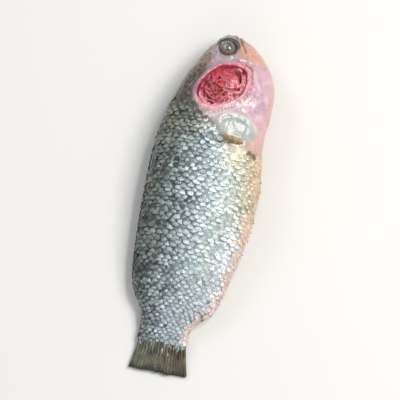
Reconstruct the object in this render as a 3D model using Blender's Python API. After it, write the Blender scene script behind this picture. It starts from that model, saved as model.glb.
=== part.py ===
"""A dressed climbing perch lying on its left side, for Blender 4.5.

The gill covers are cut away and the fins are trimmed, as for cooking. Lengths are in metres and
+Z is up. The head points to +Y, the belly to +X, and the right flank faces up. Inside this script
a place on the fish is given as `along`, measured from the snout towards the tail, and `across`,
measured from the body's axis: negative towards the back and positive towards the belly.
"""

import math

import bmesh
import bpy
import numpy as np
from mathutils import Vector

# The whole fish
LENGTH = 0.150
BACK_REACH = 0.0212
BELLY_REACH = 0.0268
HALF_WIDTH = 0.0122

# Where the body changes along its length
NAPE = 0.034
TAIL_BASE = 0.134

# The rounded front end: how far back each curve of the head runs, and how blunt it is
SNOUT_BACK = (0.060, 0.77)
SNOUT_THROAT = (0.028, 0.60)
SNOUT_SIDE = (0.034, 0.50)

# Shares of the reach that the back, belly and sides keep behind the head
BACK_LINE = ((0.0, 1.0), (0.062, 1.0), (0.080, 0.985), (0.100, 0.94), (0.111, 0.89), (0.118, 0.80),
             (0.123, 0.64), (0.128, 0.55), (TAIL_BASE, 0.51), (0.141, 0.53), (LENGTH, 0.605))
BELLY_LINE = ((0.0, 0.925), (0.036, 0.925), (0.044, 0.897), (0.050, 0.905), (0.058, 0.955),
              (0.068, 1.0), (0.078, 0.985), (0.090, 0.93), (0.102, 0.85), (0.112, 0.765),
              (0.1185, 0.70), (0.1225, 0.62), (0.1265, 0.46), (0.130, 0.36), (TAIL_BASE, 0.33),
              (0.141, 0.37), (LENGTH, 0.455))
SIDE_LINE = ((0.0, 0.95), (NAPE, 0.95), (0.045, 1.0), (0.060, 1.0), (0.075, 0.935), (0.090, 0.81),
             (0.105, 0.65), (0.115, 0.51), (0.124, 0.36), (0.130, 0.25), (TAIL_BASE, 0.165),
             (0.138, 0.085), (LENGTH, 0.052))

# Height of the body's middle plane over the table: the limp tail droops until it nearly touches
DROOP_LINE = ((0.0, 0.0096), (0.015, 0.0104), (NAPE, 0.0114), (0.045, 0.0118), (0.060, 0.0118),
              (0.075, 0.0111), (0.090, 0.0097), (0.105, 0.0079), (0.115, 0.0064), (0.124, 0.0049),
              (TAIL_BASE, 0.0034), (0.142, 0.0021), (LENGTH, 0.0013))

# Where the section is widest, as a share of its depth from the back, and how full its sides are
WIDEST_LINE = ((0.0, 0.46), (NAPE, 0.43), (0.075, 0.43), (TAIL_BASE, 0.50), (LENGTH, 0.50))
FULLNESS_LINE = ((0.0, 0.90), (0.115, 0.90), (TAIL_BASE, 0.55), (LENGTH, 0.30))

# Scales: rows on each flank, and the length of one scale at the nape and at the tail
ROWS = 15
SCALE_COLUMNS = 26
FIRST_SCALE = 0.00445
SCALE_LIFT = 0.00038
STEP_PHASES = (0.0, 0.42, 0.5, 0.92)

# Rings of the head and of the tail fin
HEAD_RINGS = 17
FIN_RINGS = 8
RAY_LIFT = 0.00016
RAGGED_EDGE = 0.0005

# The cut-off bases of the dorsal fin and the anal fin
DORSAL_BASE = (0.046, 0.117)
ANAL_BASE = (0.080, 0.120)
STUB_HEIGHT = 0.0009
STUB_SHARE = 0.35

# The gill opening: an oval that leans forwards and down, seen from the side, with a cut lip round
# it and a fold of the throat beside it
GILL_PLACE = (0.0282, 0.0022)
GILL_LONG = 0.0113
GILL_SHORT = 0.0087
GILL_LEAN = math.radians(49.0)
LIP_RADIUS = 0.0011
LIP_SHARE = 1.03
LIP_SINK = 0.0002
FOLD_ANGLES = (math.radians(-8.0), math.radians(80.0))
FOLD_SHARES = (1.18, 1.34)
FOLD_RADIUS = 0.0009
FOLD_SINK = 0.0003

# The gill basket: a core that runs from side to side, and on each side of it the folded plates of
# the breathing organ, two gill arches and a smooth dome of muscle
WAIST_SHARE = 0.62
WAIST_HEIGHT = 0.0040
GILL_DEPTH = 0.0030
GILL_MARGIN = 0.0006
GILL_SINK = 0.00012
BASKET_GAP = 0.0007
PLATES = 4
PLATE_CENTRE = (0.0305, -0.0006)
PLATE_FIRST = 0.0014
PLATE_SPACING = 0.0018
PLATE_SPREAD = math.radians(125.0)
PLATE_SIZE = (0.0008, 0.0022)
PLATE_FOLDS = 0.00035
PLATE_WAVES = (4, 3)
PLATE_STEPS = (14, 5)
ARCH_CENTRE = (0.0226, 0.0054)
ARCH_BOWS = (0.0057, 0.0078)
ARCH_SPREAD = math.radians(80.0)
ARCH_RADIUS = 0.0008
DOME_PLACE = (0.0230, 0.0062)
DOME_SIZE = (0.0041, 0.0045, 0.0022)

# Eyes
EYE_PLACE = (0.0088, 0.0010)
EYE_RADIUS = 0.0039
EYE_SPREAD = 0.0047
EYE_STEPS = (16, 10)

# Mouth slit between the jaws
MOUTH_START = (-0.002, 0.0030)
MOUTH_END = (0.0105, 0.0095)
MOUTH_GAP = 0.0007
MOUTH_CORNER = 0.35

# Shoulder girdle and the stub of the trimmed pectoral fin behind it
GIRDLE_PLACE = (0.0448, 0.0116)
GIRDLE_SIZE = (0.0052, 0.0080, 0.0015)
GIRDLE_TURN = math.radians(-14.0)
PECTORAL_PLACE = (0.0513, 0.0098)
PECTORAL_SIZE = (0.0016, 0.0066, 0.0013)
PECTORAL_TURN = math.radians(-8.0)

# The bare skin: the shoulder as far back as this and the side below this, and round the gills
SHOULDER_END = 0.0535
SHOULDER_TOP = 0.003
GILL_SURROUND = 0.004

# Clear space between pieces that touch, the steps round and along a small ball, how far from its
# middle the skin's slope is taken, and how near two points of a tube are welded
CLEARANCE = 0.0003
PEBBLE_STEPS = (14, 8)
SLOPE_REACH = 0.002
WELD = 1e-6


def clear_scene():
    for obj in list(bpy.data.objects):
        bpy.data.objects.remove(obj, do_unlink=True)


def new_collection(name):
    collection = bpy.data.collections.new(name)
    bpy.context.scene.collection.children.link(collection)
    return collection


def new_material(name, colour, roughness):
    material = bpy.data.materials.new(name)
    material.use_nodes = True
    shader = material.node_tree.nodes["Principled BSDF"]
    shader.inputs["Base Color"].default_value = (*colour, 1.0)
    shader.inputs["Roughness"].default_value = roughness
    shader.inputs["Metallic"].default_value = 0.0
    material.diffuse_color = (*colour, 1.0)
    return material


def smooth_line(knots):
    """A smooth function through (place, value) knots that never overshoots them."""
    place, value = np.array(knots).T
    step = np.diff(place)
    slope = np.diff(value) / step
    tangent = np.zeros(len(place))
    tangent[0], tangent[-1] = slope[0], slope[-1]
    before, after = slope[:-1], slope[1:]
    same_way = before * after > 0
    tangent[1:-1][same_way] = (2 * before * after / (before + after + 1e-12 * ~same_way))[same_way]

    def at(x):
        x = np.clip(x, place[0], place[-1])
        k = np.clip(np.searchsorted(place, x) - 1, 0, len(step) - 1)
        u = (x - place[k]) / step[k]
        held = value[k] * (1 + 2 * u) * (1 - u) ** 2 + value[k + 1] * u * u * (3 - 2 * u)
        turned = tangent[k] * u * (1 - u) ** 2 + tangent[k + 1] * u * u * (u - 1)
        return held + turned * step[k]

    return at


back_share = smooth_line(BACK_LINE)
belly_share = smooth_line(BELLY_LINE)
side_share = smooth_line(SIDE_LINE)
middle_height = smooth_line(DROOP_LINE)
widest_share = smooth_line(WIDEST_LINE)
fullness = smooth_line(FULLNESS_LINE)


def snout(along, shape):
    """The share of its full reach that a rounded front end has at this distance from its tip."""
    run, power = shape
    return (1 - (1 - min(along / run, 1.0)) ** 2) ** power


def reaches(along):
    """(back, belly, half width) of the section at this distance from the snout."""
    back = BACK_REACH * snout(along, SNOUT_BACK) * back_share(along)
    belly = BELLY_REACH * snout(along, SNOUT_THROAT) * belly_share(along)
    half = HALF_WIDTH * snout(along, SNOUT_SIDE) * side_share(along)
    return back, belly, half


def skin_height(along, across):
    """How far the smooth skin lies from the middle plane at a place on the fish's side."""
    back, belly, half = reaches(along)
    widest = -back + widest_share(along) * (back + belly)
    span = widest + back if across < widest else belly - widest
    cosine = min(abs(across - widest) / span, 1.0)
    return half * (1 - cosine * cosine) ** (fullness(along) / 2)


def half_section(along):
    """Points down one flank, back ridge to belly ridge, evenly spaced, with their outward normals."""
    back, belly, half = reaches(along)
    widest = -back + widest_share(along) * (back + belly)
    turn = np.linspace(0, math.pi, 241)
    span = np.where(turn < math.pi / 2, widest + back, belly - widest)
    curve = np.stack([widest - span * np.cos(turn), half * np.sin(turn) ** fullness(along)], axis=1)
    run = np.concatenate([[0], np.cumsum(np.linalg.norm(np.diff(curve, axis=0), axis=1))])
    even = np.linspace(0, run[-1], ROWS + 1)
    points = np.stack([np.interp(even, run, curve[:, k]) for k in range(2)], axis=1)
    tangent = np.gradient(points, axis=0)
    tangent /= np.linalg.norm(tangent, axis=1)[:, None]
    normals = np.stack([-tangent[:, 1], tangent[:, 0]], axis=1)
    normals[0], normals[-1] = (-1, 0), (1, 0)
    return points, normals


def scale_rings():
    """(distance from the snout, phase within a scale) of each ring on the scaled trunk."""
    last_scale = 2 * (TAIL_BASE - NAPE) / SCALE_COLUMNS - FIRST_SCALE
    rings, along = [], NAPE
    for length in np.linspace(FIRST_SCALE, last_scale, SCALE_COLUMNS):
        rings += [(along + phase * length, phase) for phase in STEP_PHASES]
        along += length
    return rings


def oval_axes(along, across):
    """The same place measured along the gill oval's long and short axes."""
    lengthwise, crosswise = along - GILL_PLACE[0], across - GILL_PLACE[1]
    long_axis = crosswise * math.cos(GILL_LEAN) - lengthwise * math.sin(GILL_LEAN)
    short_axis = crosswise * math.sin(GILL_LEAN) + lengthwise * math.cos(GILL_LEAN)
    return long_axis, short_axis


def oval_place(angle, share=1.0):
    """(along, across) of a point on the gill oval, at this share of its size."""
    long_axis = share * GILL_LONG * math.cos(angle)
    short_axis = share * GILL_SHORT * math.sin(angle)
    along = GILL_PLACE[0] - long_axis * math.sin(GILL_LEAN) + short_axis * math.cos(GILL_LEAN)
    across = GILL_PLACE[1] + long_axis * math.cos(GILL_LEAN) + short_axis * math.sin(GILL_LEAN)
    return along, across


def kept_in_oval(along, across, margin):
    """The same place, or the nearest one on its line to the oval's middle that keeps this margin."""
    long_axis, short_axis = oval_axes(along, across)
    reach = math.hypot(long_axis / (GILL_LONG - margin), short_axis / (GILL_SHORT - margin))
    share = 1.0 / max(reach, 1.0)
    middle_along, middle_across = GILL_PLACE
    return middle_along + (along - middle_along) * share, middle_across + (across - middle_across) * share


def is_scaled(along, across):
    """Scales cover the fish behind the shoulder, and its nape as far as the skin round the gills."""
    bare_shoulder = along < SHOULDER_END and across > SHOULDER_TOP
    long_axis, short_axis = oval_axes(along, across)
    reach = math.hypot(long_axis / (GILL_LONG + GILL_SURROUND), short_axis / (GILL_SHORT + GILL_SURROUND))
    return not bare_shoulder and reach > 1.0


def body_ring(along, phase, fin_stub):
    """One closed ring round the body. Every other row of scales starts half a scale later."""
    points, normals = half_section(along)
    for row in range(1, ROWS):
        if phase is not None and is_scaled(along, points[row, 0]):
            lift = (phase + 0.5 * (row % 2)) % 1.0 * SCALE_LIFT
        elif along > TAIL_BASE:
            lift = RAY_LIFT * (row % 2)
        else:
            lift = 0.0
        points[row] += normals[row] * lift
    for ridge, base in ((0, DORSAL_BASE), (ROWS, ANAL_BASE)):
        if base[0] < along < base[1]:
            points[ridge] += normals[ridge] * STUB_HEIGHT * (1.0 if fin_stub else STUB_SHARE)
    if along == LENGTH:
        along = LENGTH + RAGGED_EDGE * np.sin(2.4 * np.arange(ROWS + 1))
    middle = middle_height(along)
    right = np.zeros((ROWS + 1, 3))
    right[:, 0], right[:, 1], right[:, 2] = points[:, 0], -along, middle + points[:, 1]
    left = right.copy()
    left[:, 2] = middle - points[:, 1]
    return np.concatenate([right, left[ROWS - 1:0:-1]])


def finished_object(name, mesh, collection):
    """Turns a bmesh into an object, with its faces pointing out."""
    bmesh.ops.recalc_face_normals(mesh, faces=mesh.faces)
    data = bpy.data.meshes.new(name)
    mesh.to_mesh(data)
    mesh.free()
    obj = bpy.data.objects.new(name, data)
    collection.objects.link(obj)
    return obj


def make_loft(name, rings, collection):
    """A closed solid through rings with equal numbers of points, capped at both ends."""
    mesh = bmesh.new()
    rows = [[mesh.verts.new(point) for point in ring] for ring in rings]
    count = len(rings[0])
    for one, other in zip(rows, rows[1:]):
        for k in range(count):
            after = (k + 1) % count
            mesh.faces.new((one[k], one[after], other[after], other[k]))
    mesh.faces.new(rows[0][::-1])
    mesh.faces.new(rows[-1])
    return finished_object(name, mesh, collection)


def make_ball(name, steps, place, collection):
    """A ball, each point of which is put where a function says for that point of a unit ball."""
    mesh = bmesh.new()
    bmesh.ops.create_uvsphere(mesh, u_segments=steps[0], v_segments=steps[1], radius=1.0)
    for vertex in mesh.verts:
        vertex.co = place(vertex.co)
    return finished_object(name, mesh, collection)


def make_tube(name, points, radius, closed, collection):
    """A round tube along points, as a mesh with its caps welded on."""
    curve = bpy.data.curves.new(name, "CURVE")
    curve.dimensions = "3D"
    curve.bevel_depth = radius
    curve.bevel_resolution = 1
    curve.use_fill_caps = not closed
    spline = curve.splines.new("POLY")
    spline.points.add(len(points) - 1)
    for target, point in zip(spline.points, points):
        target.co = (*point, 1.0)
    spline.use_cyclic_u = closed
    source = bpy.data.objects.new(name + "_curve", curve)
    bpy.context.scene.collection.objects.link(source)
    evaluated = source.evaluated_get(bpy.context.evaluated_depsgraph_get())
    mesh = bmesh.new()
    mesh.from_mesh(bpy.data.meshes.new_from_object(evaluated))
    bpy.data.objects.remove(source, do_unlink=True)
    bmesh.ops.remove_doubles(mesh, verts=mesh.verts, dist=WELD)
    return finished_object(name, mesh, collection)


def make_body(collection):
    """The trunk, head and tail fin as one skin, with raised scales and cut fin bases."""
    head_places = NAPE * np.linspace(0.08, 1.0, HEAD_RINGS, endpoint=False) ** 1.6
    rings = [body_ring(along, None, False) for along in head_places]
    for index, (along, phase) in enumerate(scale_rings()):
        rings.append(body_ring(along, phase, index % 2 == 0))
    rings += [body_ring(along, None, False) for along in np.linspace(TAIL_BASE, LENGTH, FIN_RINGS)]
    return make_loft("fish_body", rings, collection)


def on_skin(along, across, side, sink=0.0):
    """The point on the right (+1) or left (-1) side at this place, this far under the skin."""
    height = skin_height(along, across) - sink
    return Vector((across, -along, middle_height(along) + side * height))


def add_pebble(name, place, size, turn, side, collection):
    """A flattened ball set into the skin: size is its half extents along, across and outwards."""
    centre = on_skin(*place, side)
    beside = (on_skin(place[0], place[1] + SLOPE_REACH, side)
              - on_skin(place[0], place[1] - SLOPE_REACH, side))
    beside.normalize()
    lengthwise = beside.cross(Vector((0, 0, side))).normalized()
    outwards = lengthwise.cross(beside)
    first = lengthwise * math.cos(turn) + beside * math.sin(turn)
    second = beside * math.cos(turn) - lengthwise * math.sin(turn)

    def in_skin(point):
        return centre + first * point.x * size[0] + second * point.y * size[1] + outwards * point.z * size[2]

    make_ball(name, PEBBLE_STEPS, in_skin, collection)


def gill_passage(name, gap, reach, collection):
    """The oval space through the head, drawn in by a gap and narrower round the middle plane."""
    rings = []
    plane = middle_height(GILL_PLACE[0])
    for height in (-reach, -WAIST_HEIGHT, 0.0, WAIST_HEIGHT, reach):
        share = WAIST_SHARE if height == 0.0 else 1.0
        ring = []
        for angle in np.linspace(0, 2 * math.pi, 28, endpoint=False):
            along, across = oval_place(angle, share - gap / GILL_SHORT)
            ring.append((across, -along, plane + height))
        rings.append(ring)
    return make_loft(name, rings, collection)


def join_collection(target, collection, operation):
    modifier = target.modifiers.new(collection.name, "BOOLEAN")
    modifier.operation = operation
    modifier.operand_type = "COLLECTION"
    modifier.collection = collection
    modifier.solver = "EXACT"


def apply_and_remove(target, collection):
    """Makes a target's modifiers part of its mesh, and removes the pieces that they used."""
    graph = bpy.context.evaluated_depsgraph_get()
    target.data = bpy.data.meshes.new_from_object(target.evaluated_get(graph))
    target.modifiers.clear()
    for piece in list(collection.objects):
        bpy.data.objects.remove(piece, do_unlink=True)
    bpy.data.collections.remove(collection)


def skin_bow(angles, shares, count, sink, side):
    """Points just under the skin on a bow round the gill opening."""
    turns = zip(np.linspace(*angles, count), np.linspace(*shares, count))
    return [on_skin(*oval_place(angle, share), side, sink) for angle, share in turns]


def add_raised_parts(body):
    """The cut lip and the throat's fold by each gill opening, the girdle and the pectoral stub."""
    raised = new_collection("raised_parts")
    for side, word in ((1, "right"), (-1, "left")):
        lip = skin_bow((0, 2 * math.pi), (LIP_SHARE, LIP_SHARE), 33, LIP_SINK, side)[:-1]
        make_tube(f"gill_lip_{word}", lip, LIP_RADIUS, True, raised)
        fold = skin_bow(FOLD_ANGLES, FOLD_SHARES, 12, FOLD_SINK, side)
        make_tube(f"fold_{word}", fold, FOLD_RADIUS, False, raised)
        add_pebble(f"girdle_{word}", GIRDLE_PLACE, GIRDLE_SIZE, GIRDLE_TURN, side, raised)
        add_pebble(f"pectoral_{word}", PECTORAL_PLACE, PECTORAL_SIZE, PECTORAL_TURN, side, raised)
    join_collection(body, raised, "UNION")
    apply_and_remove(body, raised)


def add_eyeball(name, side, radius, collection):
    centre = Vector((EYE_PLACE[1], -EYE_PLACE[0], middle_height(EYE_PLACE[0]) + side * EYE_SPREAD))
    return make_ball(name, EYE_STEPS, lambda point: centre + point * radius, collection)


def add_mouth_cutter(collection):
    """A thin wedge that parts the jaws from the tip of the snout to the corner of the mouth."""
    start = Vector((MOUTH_START[1], -MOUTH_START[0], 0.0))
    end = Vector((MOUTH_END[1], -MOUTH_END[0], 0.0))
    front = (end - start).cross(Vector((0, 0, 1))).normalized() * MOUTH_GAP
    corner = front * MOUTH_CORNER
    rings = []
    for height in (-2 * HALF_WIDTH, 4 * HALF_WIDTH):
        lift = Vector((0, 0, height))
        rings.append([start + front + lift, start - front + lift, end - corner + lift, end + corner + lift])
    make_loft("mouth_cutter", rings, collection)


def add_table_cutter(collection):
    """A block whose top is the plane that the fish lies on."""
    mesh = bmesh.new()
    bmesh.ops.create_cube(mesh, size=2 * LENGTH)
    bmesh.ops.translate(mesh, verts=mesh.verts, vec=(0, -LENGTH / 2, -LENGTH))
    finished_object("table_cutter", mesh, collection)


def cut_openings(body):
    """Cuts the gill passage, eye sockets, mouth slit and the flat that the fish rests on."""
    cutters = new_collection("cutters")
    gill_passage("gill_cutter", 0.0, 2 * HALF_WIDTH, cutters)
    for side, word in ((1, "right"), (-1, "left")):
        add_eyeball(f"socket_{word}", side, EYE_RADIUS + CLEARANCE, cutters)
    add_mouth_cutter(cutters)
    add_table_cutter(cutters)
    join_collection(body, cutters, "DIFFERENCE")
    apply_and_remove(body, cutters)


def plate_place(index, turn):
    """A point on one folded plate: the plates are wavy bows, one inside the next."""
    angle = GILL_LEAN + PLATE_SPREAD * turn
    first_waves, more_waves = PLATE_WAVES
    folds = PLATE_FOLDS * math.sin((first_waves + more_waves * index) * angle)
    radius = PLATE_FIRST + PLATE_SPACING * index + folds
    along = PLATE_CENTRE[0] + radius * math.cos(angle)
    across = PLATE_CENTRE[1] + radius * math.sin(angle)
    return kept_in_oval(along, across, PLATE_SIZE[0] / 2 + GILL_MARGIN)


def arch_place(bow, turn):
    """A point on one gill arch: the arches bow round the muscle dome, between it and the plates."""
    angle = GILL_LEAN + ARCH_SPREAD * turn
    along = ARCH_CENTRE[0] + bow * math.cos(angle)
    across = ARCH_CENTRE[1] + bow * math.sin(angle)
    return kept_in_oval(along, across, ARCH_RADIUS + GILL_MARGIN)


def add_plate(name, index, level, side, collection):
    """One folded plate: a low wall along its wavy bow, thinner at its free edge."""
    thick, tall = PLATE_SIZE
    turns = np.linspace(-1, 1, PLATE_STEPS[0] + PLATE_STEPS[1] * index)
    places = np.array([plate_place(index, turn) for turn in turns])
    way = np.gradient(places, axis=0)
    way /= np.linalg.norm(way, axis=1)[:, None]
    beside = np.stack([-way[:, 1], way[:, 0]], axis=1)
    rings = []
    for place, aside in zip(places, beside):
        ring = []
        for share, height in ((0.5, -0.4), (-0.5, -0.4), (-0.3, 0.6), (0.3, 0.6)):
            along, across = place + aside * thick * share
            ring.append((across, -along, level + side * height * tall))
        rings.append(ring)
    make_loft(name, rings, collection)


def add_dome(name, level, collection):
    """The smooth swelling of muscle at the front of the opening."""
    def in_opening(point):
        along = DOME_PLACE[0] + point.x * DOME_SIZE[0]
        across = DOME_PLACE[1] + point.y * DOME_SIZE[1]
        along, across = kept_in_oval(along, across, GILL_MARGIN)
        return across, -along, level + point.z * DOME_SIZE[2]

    make_ball(name, PEBBLE_STEPS, in_opening, collection)


def make_gill_basket(collection):
    """The core through the head, with the same plates, arches and dome on either side."""
    top = skin_height(*GILL_PLACE) - GILL_DEPTH
    basket = gill_passage("gill_basket", BASKET_GAP, top, collection)
    flesh = new_collection("gill_pieces")
    for side, word in ((1, "right"), (-1, "left")):
        level = middle_height(GILL_PLACE[0]) + side * (top - GILL_SINK)
        for index in range(PLATES):
            add_plate(f"plate_{word}_{index}", index, level, side, flesh)
        for index, bow in enumerate(ARCH_BOWS):
            places = [arch_place(bow, turn) for turn in np.linspace(-1, 1, 11)]
            points = [(across, -along, level) for along, across in places]
            make_tube(f"arch_{word}_{index}", points, ARCH_RADIUS, False, flesh)
        add_dome(f"dome_{word}", level, flesh)
    join_collection(basket, flesh, "UNION")
    apply_and_remove(basket, flesh)
    return basket


def stand_on_origin(objects):
    """Moves every piece so that the middle of the body's base is at the origin."""
    corners = np.array([vertex.co for vertex in objects[0].data.vertices])
    low, high = corners.min(axis=0), corners.max(axis=0)
    shift = Vector((-(low[0] + high[0]) / 2, -(low[1] + high[1]) / 2, -low[2]))
    for obj in objects:
        for vertex in obj.data.vertices:
            vertex.co += shift


def main():
    clear_scene()
    fish = new_collection("climbing_perch")
    skin = new_material("scaled_skin", (0.30, 0.34, 0.33), 0.35)
    gill = new_material("gill_flesh", (0.42, 0.05, 0.07), 0.30)
    eye = new_material("eye", (0.05, 0.05, 0.045), 0.12)
    body = make_body(fish)
    add_raised_parts(body)
    cut_openings(body)
    basket = make_gill_basket(fish)
    right_eye = add_eyeball("eye_right", 1, EYE_RADIUS, fish)
    left_eye = add_eyeball("eye_left", -1, EYE_RADIUS, fish)
    for obj, material in ((body, skin), (basket, gill), (right_eye, eye), (left_eye, eye)):
        obj.data.materials.clear()
        obj.data.materials.append(material)
        obj.data.shade_smooth()
        obj.data.set_sharp_from_angle(angle=math.radians(40))
    stand_on_origin([body, basket, right_eye, left_eye])


main()
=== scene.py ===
import math

import bmesh
import bpy
import numpy as np
from mathutils import Matrix, Vector


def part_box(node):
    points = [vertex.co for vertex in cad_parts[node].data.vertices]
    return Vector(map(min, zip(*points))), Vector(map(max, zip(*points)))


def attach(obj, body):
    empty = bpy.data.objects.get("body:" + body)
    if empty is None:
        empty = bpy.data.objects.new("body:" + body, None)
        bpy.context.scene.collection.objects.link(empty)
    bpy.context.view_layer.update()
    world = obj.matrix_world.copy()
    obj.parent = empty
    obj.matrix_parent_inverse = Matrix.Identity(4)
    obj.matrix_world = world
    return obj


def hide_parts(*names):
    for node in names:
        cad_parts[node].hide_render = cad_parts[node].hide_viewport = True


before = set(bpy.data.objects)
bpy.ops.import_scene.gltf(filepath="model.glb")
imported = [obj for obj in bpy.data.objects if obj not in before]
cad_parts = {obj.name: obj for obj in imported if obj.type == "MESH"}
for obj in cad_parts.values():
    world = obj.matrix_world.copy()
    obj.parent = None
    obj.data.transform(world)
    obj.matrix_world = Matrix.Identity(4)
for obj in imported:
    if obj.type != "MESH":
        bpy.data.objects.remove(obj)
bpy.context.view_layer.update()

# The table and the light. The fish lies on a pale matt table under a wide soft light over its belly
# side, which draws the broad gleam down the lower flank, and a weaker one over its back. Two more fill
# in from the tail and set small glints. The camera looks down as steeply as the one that took the picture.
CAMERA_TURN, CAMERA_RISE = math.radians(11.6), math.radians(74)
CAMERA_DISTANCE, CAMERA_LENS = 0.75, 160.0
CAMERA_AIM = Vector((0.0, 0.0, 0.010))
TABLE_SIZE, TABLE_DROP, TABLE_COLOUR = 3.0, 0.0002, (226, 224, 220)
SKY_COLOUR, SKY_STRENGTH = (0.93, 0.96, 1.0, 1), 0.45
LIGHTS = (("belly_light", (0.42, 0.12, 0.75), 0.40, 5.0, (1.0, 0.98, 0.95)),
          ("back_light", (-0.55, 0.35, 0.6), 0.35, 1.2, (0.92, 0.96, 1.0)),
          ("tail_light", (0.1, -0.8, 0.5), 0.4, 1.0, (1.0, 1.0, 1.0)),
          ("glint_light", (0.25, 0.35, 0.8), 0.06, 1.2, (1.0, 1.0, 1.0)))


def tint(red, green, blue):
    """A colour as the eye names it, 0 to 255, in the linear values that a shader takes."""
    return tuple(((c / 255 + 0.055) / 1.055) ** 2.4 if c > 10 else c / 3295 for c in (red, green, blue))


def new_finish(name, roughness, coat=0.0, coat_roughness=0.1, subsurface=0.0):
    """A material with its shader's plain values set; returns it, its tree and its shader."""
    material = bpy.data.materials.new(name)
    material.use_nodes = True
    shader = material.node_tree.nodes["Principled BSDF"]
    for socket, value in (("Roughness", roughness), ("Coat Weight", coat), ("Coat Roughness", coat_roughness),
                          ("Subsurface Weight", subsurface), ("Subsurface Scale", 0.0015),
                          ("Subsurface Radius", (1.0, 0.35, 0.25))):
        shader.inputs[socket].default_value = value
    return material, material.node_tree, shader


def add_light(name, place, size, power, colour):
    """A square soft light that looks at the fish."""
    lamp = bpy.data.lights.new(name, "AREA")
    lamp.size, lamp.energy, lamp.color = size, power, colour
    obj = bpy.data.objects.new(name, lamp)
    obj.location = place
    obj.rotation_euler = (-Vector(place)).to_track_quat("-Z", "Y").to_euler()
    bpy.context.scene.collection.objects.link(obj)


bpy.ops.mesh.primitive_plane_add(size=TABLE_SIZE, location=(0, 0, -TABLE_DROP))
floor = bpy.context.object
floor.name = "table_top"
floor_finish, _, floor_shader = new_finish("pale table", 0.7)
floor_shader.inputs["Base Color"].default_value = (*tint(*TABLE_COLOUR), 1)
floor.data.materials.append(floor_finish)

world = bpy.data.worlds.new("studio")
world.use_nodes = True
world.node_tree.nodes["Background"].inputs["Color"].default_value = SKY_COLOUR
world.node_tree.nodes["Background"].inputs["Strength"].default_value = SKY_STRENGTH
bpy.context.scene.world = world
for light in LIGHTS:
    add_light(*light)

camera = bpy.data.objects.new("camera", bpy.data.cameras.new("camera"))
camera.data.lens = CAMERA_LENS
away = Vector((math.sin(CAMERA_TURN) * math.cos(CAMERA_RISE), -math.cos(CAMERA_TURN) * math.cos(CAMERA_RISE),
               math.sin(CAMERA_RISE)))
camera.location = CAMERA_AIM + away * CAMERA_DISTANCE
camera.rotation_euler = away.to_track_quat("Z", "Y").to_euler()
bpy.context.scene.collection.objects.link(camera)
bpy.context.scene.camera = camera
bpy.context.scene.view_settings.view_transform = "Standard"

# The skin: one closed piece over the head, the trunk and the root of the tail. It is wet and bare on
# the head, throat and shoulder, and behind them it is the dark sheet that the scales grow from. It is
# lofted through sections, from how far the back, the belly and the sides stand out from the axis.
LENGTH, BACK_REACH, BELLY_REACH, HALF_WIDTH = 0.150, 0.0212, 0.0268, 0.0122
NAPE, TAIL_BASE = 0.034, 0.134
SNOUT_BACK, SNOUT_THROAT, SNOUT_SIDE = (0.060, 0.77), (0.028, 0.60), (0.034, 0.50)
EYE_PLACE, EYE_RADIUS, EYE_SPREAD = (0.0088, 0.0010), 0.0039, 0.0047
GILL_PLACE, GILL_LONG, GILL_SHORT, GILL_LEAN = (0.0275, 0.0023), 0.0114, 0.0085, math.radians(52)
GILL_DEPTH = 0.0052
MOUTH_START, MOUTH_END = (-0.002, 0.0030), (0.0105, 0.0095)
GIRDLE_PLACE, GIRDLE_SIZE, GIRDLE_TURN = (0.0446, 0.0112), (0.0058, 0.0088), math.radians(-2)
PECTORAL_PLACE, PECTORAL_SIZE, PECTORAL_TURN = (0.0513, 0.0096), (0.0013, 0.0066), math.radians(6)
GIRDLE_WHITE, PECTORAL_STAIN = (0.0068, 0.0100), (0.0030, 0.0080)
JAW_BONE, CHEEK_BONE = ((0.0122, 0.0108), (0.0044, 0.0020), 0.62), ((0.0150, 0.0062), (0.0020, 0.0034), 0.3)
VIOLET_PATCH, CREAM_PATCH = ((0.034, 0.0185), (0.012, 0.006), 0), ((0.0560, 0.0140), (0.0060, 0.0070), 0)
NOSTRIL_PLACE, NOSTRIL_RADIUS = (0.0040, -0.0030), 0.0005
UNDER_SCALES = 0.00045
SKIN_START, SKIN_END = 0.0003, TAIL_BASE + 0.0045
FLANK_STEPS, HEAD_RINGS, TRUNK_RINGS = 110, 120, 125
PATCHES_PER_GRAIN, WRINKLE_DEPTH = 0.32, 0.0006


def smooth_line(*knots):
    """A smooth function through (place, value) knots that never overshoots them."""
    place, value = np.array(knots).T
    step = np.diff(place)
    slope = np.diff(value) / step
    tangent = np.zeros(len(place))
    tangent[0], tangent[-1] = slope[0], slope[-1]
    before, after = slope[:-1], slope[1:]
    same_way = before * after > 0
    tangent[1:-1][same_way] = (2 * before * after / (before + after + 1e-12 * ~same_way))[same_way]

    def at(x):
        x = np.clip(x, place[0], place[-1])
        k = np.clip(np.searchsorted(place, x) - 1, 0, len(step) - 1)
        u = (x - place[k]) / step[k]
        held = value[k] * (1 + 2 * u) * (1 - u) ** 2 + value[k + 1] * u * u * (3 - 2 * u)
        turned = tangent[k] * u * (1 - u) ** 2 + tangent[k + 1] * u * u * (u - 1)
        return held + turned * step[k]

    return at


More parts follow.
